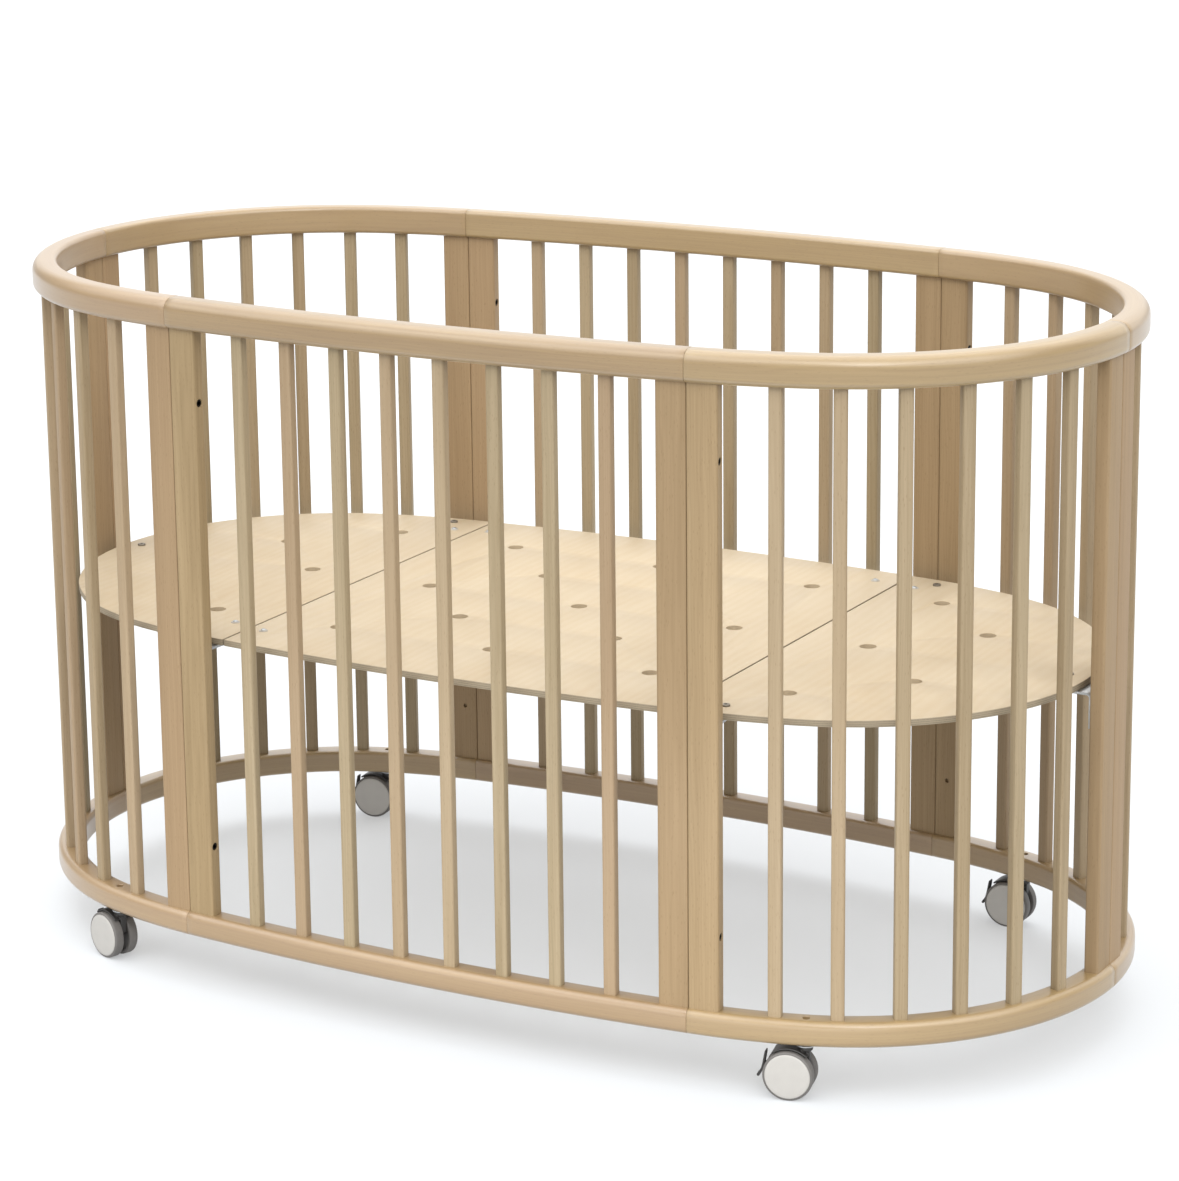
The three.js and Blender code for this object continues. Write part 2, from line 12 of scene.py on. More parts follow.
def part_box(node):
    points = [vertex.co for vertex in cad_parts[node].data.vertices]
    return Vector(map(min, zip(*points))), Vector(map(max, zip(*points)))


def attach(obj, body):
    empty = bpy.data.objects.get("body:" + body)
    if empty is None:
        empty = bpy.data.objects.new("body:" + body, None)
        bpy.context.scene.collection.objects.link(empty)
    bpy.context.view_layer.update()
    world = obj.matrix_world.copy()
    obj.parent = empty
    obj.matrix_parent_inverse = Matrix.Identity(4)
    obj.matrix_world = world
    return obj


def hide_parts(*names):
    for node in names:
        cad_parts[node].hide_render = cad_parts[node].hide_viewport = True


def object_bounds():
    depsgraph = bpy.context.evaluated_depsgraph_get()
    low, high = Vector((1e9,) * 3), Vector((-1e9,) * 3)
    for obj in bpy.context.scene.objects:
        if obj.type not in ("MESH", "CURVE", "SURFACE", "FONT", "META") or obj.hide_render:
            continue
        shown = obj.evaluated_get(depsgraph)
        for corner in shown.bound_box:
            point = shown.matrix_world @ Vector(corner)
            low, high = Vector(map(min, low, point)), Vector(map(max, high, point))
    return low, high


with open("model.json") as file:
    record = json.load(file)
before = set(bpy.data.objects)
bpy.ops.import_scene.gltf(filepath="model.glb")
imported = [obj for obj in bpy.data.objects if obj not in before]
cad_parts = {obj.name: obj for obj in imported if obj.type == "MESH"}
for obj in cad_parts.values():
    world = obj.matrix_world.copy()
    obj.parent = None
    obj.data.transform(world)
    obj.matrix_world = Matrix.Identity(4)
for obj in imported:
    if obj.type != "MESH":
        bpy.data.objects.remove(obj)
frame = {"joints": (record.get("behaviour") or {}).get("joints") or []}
CAD_LOW, CAD_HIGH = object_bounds()

bl_info = {
    "name": "Oval beech crib",
    "version": (1, 0, 0),
    "blender": (4, 5, 0),
    "location": "3D View > Sidebar > Crib",
    "description": "Builds an oval slatted beech crib on twin-wheel casters, piece by piece",
    "category": "Add Mesh",
}

MM = 0.001


def linear(code):
    """Linear RGBA of an sRGB hex colour."""
    def channel(value):
        return value / 12.92 if value <= 0.04045 else ((value + 0.055) / 1.055) ** 2.4

    return tuple(channel(int(code[i:i + 2], 16) / 255) for i in (0, 2, 4)) + (1.0,)


# ---------------------------------------------------------------------------------------------------------
# Sizes and colours
# ---------------------------------------------------------------------------------------------------------

def size(name, millimetres, description):
    """A length property, its default given in millimetres."""
    return bpy.props.FloatProperty(name=name, description=description, default=millimetres * MM,
                                   unit="LENGTH", precision=4)


def angle(name, degrees, description):
    """An angle property, its default given in degrees."""
    return bpy.props.FloatProperty(name=name, description=description, default=math.radians(degrees),
                                   subtype="ANGLE")


def count(name, default, description):
    """A property for a number of like pieces."""
    return bpy.props.IntProperty(name=name, description=description, default=default, min=1)


def colour(name, code, description):
    """A colour property, its default given as an sRGB hex code."""
    return bpy.props.FloatVectorProperty(name=name, description=description, default=linear(code),
                                         subtype="COLOR", size=4, min=0.0, max=1.0)


class PlanSettings(bpy.types.PropertyGroup):
    """Centre line of the rails: each quarter is three tangent arcs."""
    side_radius: size("Side radius", 3408, "Radius of the slight bow of the long sides")
    side_half_length: size("Half side", 340.4, "Length along a side from its middle to a corner joint")
    shoulder_radius: size("Shoulder radius", 640, "Radius between a side and an end")
    shoulder_length: size("Shoulder length", 130.5, "Length of each shoulder arc")
    end_radius: size("End radius", 329.5, "Radius of the round ends")


class TimberSettings(bpy.types.PropertyGroup):
    """Sections of the rails, slats and posts, and the holes in the posts."""
    rail_width: size("Rail width", 31, "Width of both rails")
    lower_rail_depth: size("Lower rail depth", 30, "Height of the lower rail")
    crown_round: size("Crown round", 14, "Rounding of the top rail's upper outer edge")
    outer_round: size("Outer round", 8, "Rounding of a rail's other outer edges")
    inner_round: size("Inner round", 6, "Rounding of a rail's inner edges")
    seam_chamfer: size("Seam chamfer", 0.3, "Easing of the ends of each rail")
    joint_gap: size("Joint gap", 0.3, "Gap between two neighbouring pieces")
    slat_width: size("Slat width", 15.6, "Width of a slat along the rail")
    slat_depth: size("Slat depth", 12.5, "Depth of a slat across the rail")
    slat_round: size("Slat round", 2.5, "Rounding of a slat's edges")
    tenon: size("Tenon", 3, "How far slats and posts run into the rails")
    side_slats: count("Side slats", 8, "Slats in each long side")
    quarter_slats: count("Quarter slats", 6, "Slats in each curved quarter")
    post_width: size("Post width", 36.5, "Width of a post along the rail")
    post_depth: size("Post depth", 17.2, "Depth of a post across the rail")
    post_round: size("Post round", 3, "Rounding of a post's free edges")
    post_joint_round: size("Post joint round", 2.0, "Rounding of the edges where two posts meet")
    bolt_hole_radius: size("Bolt hole radius", 4.8, "Radius of the connecting-bolt holes")
    bolt_hole_depth: size("Bolt hole depth", 12, "Depth of the connecting-bolt holes")
    bolt_from_rail: size("Bolt from rail", 87, "Distance of the connecting bolts from each rail")
    spare_hole_radius: size("Spare hole radius", 2.6, "Radius of the spare hole for a low base")
    spare_hole_depth: size("Spare hole depth", 4, "Depth of the spare hole")
    spare_hole_height: size("Spare hole height", 169, "Height of the spare hole above the floor")
    spare_hole_from_joint: size("Spare hole offset", 17, "Distance of the spare hole from the joint")


class BaseSettings(bpy.types.PropertyGroup):
    """Plywood panels of the mattress base and the steel brackets under them."""
    edge_chamfer: size("Edge chamfer", 0.5, "Easing of the panels' edges and vent rims")
    vent_radius: size("Vent radius", 10, "Radius of the vent holes")
    vent_pitch: size("Vent pitch", 106.5, "Spacing of the staggered vent grid")
    vent_shift_x: size("Vent shift X", 7, "Offset of the vent grid along the crib")
    vent_shift_y: size("Vent shift Y", 4, "Offset of the vent grid across the crib")
    end_column: size("End column", 389, "Distance of the end panels' first vents from the middle")
    bracket_steel: size("Bracket steel", 3, "Thickness of the brackets")
    bracket_half_width: size("Bracket half width", 30, "Half the width of a bracket's flange")
    bracket_drop: size("Bracket drop", 42, "Height of a bracket's flange")
    corner_reach: size("Corner reach", 88, "How far a corner bracket runs under the base")
    corner_splice: size("Corner splice", 72, "How far a corner bracket's wing runs under the middle panel")
    splice_setback: size("Splice setback", 36, "Distance of that wing from the posts")
    seam_ease: size("Seam ease", 1.2, "How far each panel's seam edge is planed back")
    end_reach: size("End reach", 62, "How far an end bracket runs under the base")


class CasterSettings(bpy.types.PropertyGroup):
    """Parts of a caster: sizes across it are from its middle plane, and heights from the floor."""
    wheel_inner_face: size("Wheel inner face", 4.8, "Distance of the wheel's inner face from the middle")
    wheel_outer_face: size("Wheel outer face", 17.3, "Distance of the wheel's outer face from the middle")
    disc_radius: size("Disc radius", 26.5, "Radius of the pale disc on the wheel")
    disc_seat: size("Disc seat", 2.2, "Depth of the seat in the wheel that takes the disc")
    axle_radius: size("Axle radius", 3, "Radius of the axle")
    axle_half_length: size("Axle half length", 14, "Half the length of the axle")
    web_half_thickness: size("Web half thickness", 4, "Half the thickness of the web between the wheels")
    hood_half_width: size("Hood half width", 12, "Half the width of the hood over the wheels")
    hood_inner_radius: size("Hood inner radius", 29.9, "Inner radius of the hood")
    hood_outer_radius: size("Hood outer radius", 32, "Outer radius of the hood")
    hood_front: angle("Hood front", 48, "Where the hood starts, next to the stem")
    hood_back: angle("Hood back", 127, "Where the hood ends, above the lever")
    stem_radius: size("Stem radius", 4, "Radius of the stem")
    stem_bottom: size("Stem bottom", 57, "Height of the stem's lower end")
    stem_top: size("Stem top", 86.5, "Height of the stem's upper end")
    flange_radius: size("Flange radius", 11, "Radius of the flange under the rail")
    flange_thickness: size("Flange thickness", 1.8, "Thickness of the flange under the rail")
    boss_radius: size("Boss radius", 8, "Radius of the boss that turns on the stem")
    boss_bottom: size("Boss bottom", 56.3, "Height of the boss's lower end")
    arm_half_thickness: size("Arm half thickness", 1.4, "Half the thickness of the lever's arm")
    arm_tip_radius: size("Arm tip radius", 2.6, "Radius of that arm's tip")
    lever_half_width: size("Lever half width", 4, "Half the width of the brake lever")
    cheek_inner_face: size("Cheek inner face", 1.7, "Distance of the cheeks' inner faces from the middle")
    cheek_outer_face: size("Cheek outer face", 3.7, "Distance of the cheeks' outer faces from the middle")
    pin_radius: size("Pin radius", 1.2, "Radius of the brake lever's pin")


class FinishSettings(bpy.types.PropertyGroup):
    """Base colours of the finishes."""
    rail_light: colour("Rail beech, early wood", "937D55", "Paler tone of the lacquered rails")
    rail_dark: colour("Rail beech, late wood", "79623F", "Deeper tone of the lacquered rails")
    slat_light: colour("Slat beech, early wood", "9B8C72", "Paler tone of the slats")
    slat_dark: colour("Slat beech, late wood", "7E6F54", "Deeper tone of the slats")
    post_light: colour("Post beech, early wood", "958161", "Paler tone of the posts")
    post_dark: colour("Post beech, late wood", "796648", "Deeper tone of the posts")
    beech_fleck: colour("Beech, ray flecks", "685134", "Fine ray flecks in the beech")
    beech_rosy: colour("Beech, rosy", "997D64", "Pinkish cast of some boards")
    birch_light: colour("Birch, pale", "B2A48D", "Paler tone of the birch face veneer")
    birch_dark: colour("Birch, figure", "A69376", "Figure of the birch face veneer")
    ply_long: colour("Edge, long grain", "928671", "Plies with the grain along the edge")
    ply_end: colour("Edge, end grain", "6E614B", "Plies with the end grain at the edge")
    zinc: colour("Zinc plate", "B9BBBC", "Zinc-plated steel")
    black_steel: colour("Blacked steel", "2A2826", "Black-oxide bolts")
    black_nylon: colour("Black nylon", "242220", "Caster housings and levers")
    pale_nylon: colour("Pale nylon", "A29F9A", "Wheel discs")
    sand_nylon: colour("Sand nylon", "A09A8F", "Cup washers on the base")
    base_bolt: colour("Base bolts", "8A8378", "Dull plated bolts of the base")
    grey_tread: colour("Grey tread", "5C5956", "Soft grey wheel treads")


class StudioSettings(bpy.types.PropertyGroup):
    """The floor, the white room, its lamps and the camera."""
    floor: colour("Floor", "989B9E", "Plain white floor, before its own glow")
    floor_glow: bpy.props.FloatProperty(name="Floor glow", description="Light given off by the lit floor",
                                        default=0.38, min=0.0)
    floor_radius: bpy.props.FloatProperty(name="Floor radius", description="Radius of the floor disc",
                                          default=25.0, unit="LENGTH")
    room: bpy.props.FloatProperty(name="Room", description="Even light of the white room", default=0.38)
    front_wall: bpy.props.FloatProperty(name="Front wall", description="Extra light of the camera's wall",
                                        default=0.27, min=0.0)
    back_wall: bpy.props.FloatProperty(name="Back wall", description="Extra light of the wall behind it",
                                       default=0.88, min=0.0)
    lamps: bpy.props.FloatProperty(name="Lamps", description="Brightness of all the far lamps together",
                                   default=1.0, min=0.0)
    strip: bpy.props.FloatProperty(name="Strip", description="Power of the low strip light, in watts",
                                   default=2.9, min=0.0)
    strip_turn: angle("Strip turn", 8, "Turn of the strip light from the crib's front")
    strip_distance: size("Strip distance", 950, "Distance of the strip light from the crib's middle")
    strip_height: size("Strip height", 100, "Height of the strip light's middle")
    camera_place: bpy.props.FloatVectorProperty(name="Camera", description="Where the camera stands",
                                                default=(2.21689, -3.92472, 1.68338), subtype="XYZ")
    camera_azimuth: angle("Azimuth", 30.24, "Turn of the view from the crib's front")
    camera_elevation: angle("Elevation", 13.88, "How far the view looks down")
    camera_roll: angle("Roll", -0.865, "Tilt of the horizon")
    camera_lens: bpy.props.FloatProperty(name="Lens", description="Focal length on a 36 mm sensor, in mm",
                                         default=116.52)
    camera_shift_x: bpy.props.FloatProperty(name="Shift X", description="Sideways lens shift", default=0.0583)
    camera_shift_y: bpy.props.FloatProperty(name="Shift Y", description="Upright lens shift", default=-0.0762)


# ---------------------------------------------------------------------------------------------------------
# Plan of the crib
# ---------------------------------------------------------------------------------------------------------

def along(start, end, step):
    """Evenly spaced values from start to end, at most step apart."""
    pieces = max(1, math.ceil((end - start) / step))
    return [start + (end - start) * i / pieces for i in range(pieces + 1)]


class Plan:
    """The rails' closed centre line. s runs from the front middle towards +X."""

    def __init__(self, settings):
        side_turn = settings.side_half_length / settings.side_radius
        shoulder_turn = settings.shoulder_length / settings.shoulder_radius
        end_turn = math.pi / 2 - side_turn - shoulder_turn
        self.arcs = [
            (settings.side_radius, side_turn),
            (settings.shoulder_radius, shoulder_turn),
            (settings.end_radius, end_turn),
        ]
        self.side = settings.side_half_length
        self.quarter = sum(radius * turn for radius, turn in self.arcs)
        self.half_length, self.half_width, _ = self.quarter_point(self.quarter)

    def quarter_point(self, s):
        """x, rise from the front and heading, s along the quarter from the front middle."""
        x = rise = heading = 0.0
        for radius, turn in self.arcs:
            step = min(s / radius, turn)
            x += radius * (math.sin(heading + step) - math.sin(heading))
            rise += radius * (math.cos(heading) - math.cos(heading + step))
            heading += step
            s -= step * radius
        return x, rise, heading

    def point(self, s, offset=0.0):
        """(place, outward direction) at s, moved offset outwards."""
        s %= 4 * self.quarter
        left = s > 2 * self.quarter
        if left:
            s = 4 * self.quarter - s
        back = s > self.quarter
        x, rise, heading = self.quarter_point(2 * self.quarter - s if back else s)
        flip_x = -1 if left else 1
        flip_y = -1 if back else 1
        out = Vector((flip_x * math.sin(heading), -flip_y * math.cos(heading), 0.0))
        place = Vector((flip_x * x, flip_y * (rise - self.half_width), 0.0))
        return place + out * offset, out

    def locate(self, point):
        """(s within the quarter, outward offset) of a point near the centre line."""
        x, rise = abs(point.x), self.half_width - abs(point.y)
        centre = Vector((0.0, self.arcs[0][0]))
        start = s = 0.0
        for index, (radius, turn) in enumerate(self.arcs):
            reach = Vector((x, rise)) - centre
            heading = math.atan2(reach.x, -reach.y)
            if heading <= start + turn or index == len(self.arcs) - 1:
                break
            start += turn
            s += radius * turn
            shorter = radius - self.arcs[index + 1][0]
            centre += Vector((math.sin(start), -math.cos(start))) * shorter
        return s + (heading - start) * radius, reach.length - radius

    def frame_at(self, s):
        """Matrix whose X runs along the rail and whose Y points into the crib, at s."""
        place, out = self.point(s)
        tangent = Vector((-out.y, out.x, 0.0))
        turned = Matrix((tangent, -out, (0.0, 0.0, 1.0))).transposed()
        return Matrix.Translation(place) @ turned.to_4x4()


def crib_plan(scene):
    """The plan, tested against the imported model's own size."""
    plan = Plan(scene.crib_plan)
    half_width = scene.crib_timber.rail_width / 2
    for mine, framed in ((plan.half_length, CAD_HIGH.x), (plan.half_width, CAD_HIGH.y)):
        if abs(mine + half_width - framed) > 0.5 * MM:
            raise RuntimeError(f"the plan reaches {mine + half_width:.4f} m, but the frame {framed:.4f} m")
    return plan


# The joints between rail sections, as (name, posts before and after, side on which a quarter lies).
JOINTS = (
    ("front_right", "side", "quarter", 1),
    ("right_end", "front", "back", 0),
    ("back_right", "quarter", "side", -1),
    ("back_left", "side", "quarter", 1),
    ("left_end", "back", "front", 0),
    ("front_left", "quarter", "side", -1),
)


def joint_places(plan):
    """s of each joint, in the order of JOINTS."""
    back = 2 * plan.quarter
    return [plan.side, plan.quarter, back - plan.side, back + plan.side, back + plan.quarter,
            2 * back - plan.side]


def sections(plan):
    """(name, from, to, True for a long side) of each rail section."""
    s = joint_places(plan)
    names = ("front_right", "back_right", "back_side", "back_left", "front_left")
    found = [("front_side", -plan.side, plan.side, True)]
    for index, name in enumerate(names):
        found.append((name, s[index], s[index + 1], name.endswith("side")))
    return found


def slat_places(section, timber):
    """s of the middle of each slat of a section, with equal gaps between the two posts."""
    _, start, end, is_side = section
    slats = timber.side_slats if is_side else timber.quarter_slats
    gap = (end - start - 2 * timber.post_width - slats * timber.slat_width) / (slats + 1)
    first = start + timber.post_width + gap + timber.slat_width / 2
    return [first + (gap + timber.slat_width) * i for i in range(slats)]


# ---------------------------------------------------------------------------------------------------------
# Mesh tools
# ---------------------------------------------------------------------------------------------------------

def rounded_outline(width, depth, rounds, steps=6):
    """Counterclockwise outline of a rectangle with a round at each corner, from (+, +) onwards."""
    outline = []
    for quadrant, (sign_x, sign_y) in enumerate(((1, 1), (-1, 1), (-1, -1), (1, -1))):
        radius = rounds[quadrant]
        centre = (sign_x * (width / 2 - radius), sign_y * (depth / 2 - radius))
        for step in range(steps + 1):
            turn = math.radians(90) * (quadrant + step / steps)
            outline.append((centre[0] + radius * math.cos(turn), centre[1] + radius * math.sin(turn)))
    return outline


def shrunk(outline, inset):
    """The outline moved in by about inset on every side."""
    half_x = max(x for x, _ in outline)
    half_y = max(y for _, y in outline)
    return [(x * (1 - inset / half_x), y * (1 - inset / half_y)) for x, y in outline]


def eased_stations(stations, chamfer):
    """(station, inset) pairs that ease both ends of a bar."""
    first, last = stations[0], stations[-1]
    inner = [(s, 0.0) for s in stations[1:-1] if first + 2 * chamfer < s < last - 2 * chamfer]
    start = [(first, chamfer), (first + 0.35 * chamfer, 0.35 * chamfer), (first + chamfer, 0.0)]
    end = [(last - chamfer, 0.0), (last - 0.35 * chamfer, 0.35 * chamfer), (last, chamfer)]
    return start + inner + end


def skin(bm, rings):
    """Closed skin over rings of points, each counterclockwise seen from the next one."""
    rows = [[bm.verts.new(point) for point in ring] for ring in rings]
    for row, following in zip(rows, rows[1:]):
        for i in range(len(row)):
            j = (i + 1) % len(row)
            bm.faces.new((row[i], row[j], following[j], following[i]))
    bm.faces.new(reversed(rows[0]))
    bm.faces.new(rows[-1])


def lathe(bm, profile, segments):
    """Solid turned about Z from (radius, height) points, rising on the outside. Ends lie on the axis."""
    rows = []
    for radius, height in profile:
        if radius < 1e-7:
            rows.append([bm.verts.new((0.0, 0.0, height))] * segments)
            continue
        turns = [2 * math.pi * i / segments for i in range(segments)]
        rows.append([bm.verts.new((radius * math.cos(t), radius * math.sin(t), height)) for t in turns])
    for row, following in zip(rows, rows[1:]):
        for i in range(segments):
            j = (i + 1) % segments
            corners = list(dict.fromkeys((row[i], row[j], following[j], following[i])))
            if len(corners) > 2:
                bm.faces.new(corners)


def ring_solid(bm, profile, segments):
    """Ring turned about Z from a closed (radius, height) profile."""
    turns = [2 * math.pi * i / segments for i in range(segments)]
    rows = [[bm.verts.new((r * math.cos(t), r * math.sin(t), z)) for t in turns] for r, z in profile]
    for row, following in zip(rows, rows[1:] + rows[:1]):
        for i in range(segments):
            j = (i + 1) % segments
            bm.faces.new((row[i], row[j], following[j], following[i]))


def prism(bm, outline, low, high, matrix=Matrix.Identity(4)):
    """Upright prism over a counterclockwise outline, from low to high, placed by matrix."""
    rings = [[matrix @ Vector((x, y, z)) for x, y in outline] for z in (low, high)]
    skin(bm, rings)


def arc(radius, start, end, step=math.radians(4)):
    """Points of an arc about the origin."""
    return [(radius * math.cos(t), radius * math.sin(t)) for t in along(start, end, step)]


def mesh_from(bm, name):
    """A mesh from a bmesh, which is freed."""
    bmesh.ops.recalc_face_normals(bm, faces=bm.faces)
    mesh = bpy.data.meshes.new(name)
    bm.to_mesh(mesh)
    bm.free()
    return mesh


def evaluated(obj, name):
    """A new mesh with the object's modifiers applied. The object is removed."""
    graph = bpy.context.evaluated_depsgraph_get()
    mesh = bpy.data.meshes.new_from_object(obj.evaluated_get(graph))
    mesh.name = name
    bpy.data.objects.remove(obj)
    return mesh


def temporary(mesh):
    """A linked object that carries the mesh while its modifiers are applied."""
    obj = bpy.data.objects.new("temporary", mesh)
    bpy.context.scene.collection.objects.link(obj)
    return obj


def combined(mesh, other, operation, name):
    """mesh cut by, or joined with, another closed mesh."""
    obj, tool = temporary(mesh), temporary(other)
    step = obj.modifiers.new("combine", "BOOLEAN")
    step.operation, step.solver, step.object = operation, "EXACT", tool
    result = evaluated(obj, name)
    bpy.data.objects.remove(tool)
    if not result.polygons:
        raise RuntimeError(f"{name}: the boolean left nothing")
    return result


def bevelled(mesh, width, segments, name):
    """mesh with its hard edges rounded."""
    obj = temporary(mesh)
    step = obj.modifiers.new("edges", "BEVEL")
    step.width, step.segments = width, segments
    step.limit_method, step.angle_limit = "ANGLE", math.radians(35)
    return evaluated(obj, name)


def moulded(mesh, voxel, smoothing, name):
    """Overlapping closed shells fused into one skin with soft fillets, as a moulding has."""
    obj = temporary(mesh)
    fuse = obj.modifiers.new("fuse", "REMESH")
    fuse.mode, fuse.voxel_size = "VOXEL", voxel
    soften = obj.modifiers.new("soften", "SMOOTH")
    soften.factor, soften.iterations = 0.5, smoothing
    return evaluated(obj, name)


def write_grain(mesh, locate, seed):
    """Stores how each point lies in the timber, (across, through, along) in metres, and the board's tone."""
    draw = random.Random(seed)
    shift = [draw.uniform(0.0, 3.0) for _ in range(3)]
    tone = draw.uniform(0.0, 1.0)
    values = []
    for vertex in mesh.vertices:
        values.extend(part + move for part, move in zip(locate(vertex.co), shift))
    grain = mesh.attributes.new("grain", "FLOAT_VECTOR", "POINT")
    grain.data.foreach_set("vector", values)
    board = mesh.attributes.new("tone", "FLOAT", "POINT")
    board.data.foreach_set("value", [tone] * len(mesh.vertices))


def add_piece(name, mesh, materials, body="root", replaced=(), matrix=None, sharp=40):
    """Shows a mesh as a piece of the crib, with hard edges only above the angle sharp."""
    if len(mesh.materials) == 0:
        for material in materials:
            mesh.materials.append(material)
        mesh.shade_smooth()
        mesh.set_sharp_from_angle(angle=math.radians(sharp))
    piece = bpy.data.objects.new(name, mesh)
    bpy.context.scene.collection.objects.link(piece)
    if matrix is not None:
        piece.matrix_world = matrix
    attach(piece, body)
    if replaced:
        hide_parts(*replaced)
    return piece


# ---------------------------------------------------------------------------------------------------------
# Materials
# ---------------------------------------------------------------------------------------------------------

def add_node(material, kind, inputs=None, **settings):
    """Adds a node. inputs maps a socket's name or number to a value or to another node's output."""
    tree = material.node_tree
    node = tree.nodes.new(kind)
    for key, value in settings.items():
        setattr(node, key, value)
    for key, value in (inputs or {}).items():
        if isinstance(value, bpy.types.NodeSocket):
            tree.links.new(value, node.inputs[key])
        else:
            node.inputs[key].default_value = value
    return node


def new_material(name):
    """An empty node material that is made once and then shared."""
    material = bpy.data.materials.new(name)
    material.use_nodes = True
    material.node_tree.nodes.clear()
    return material


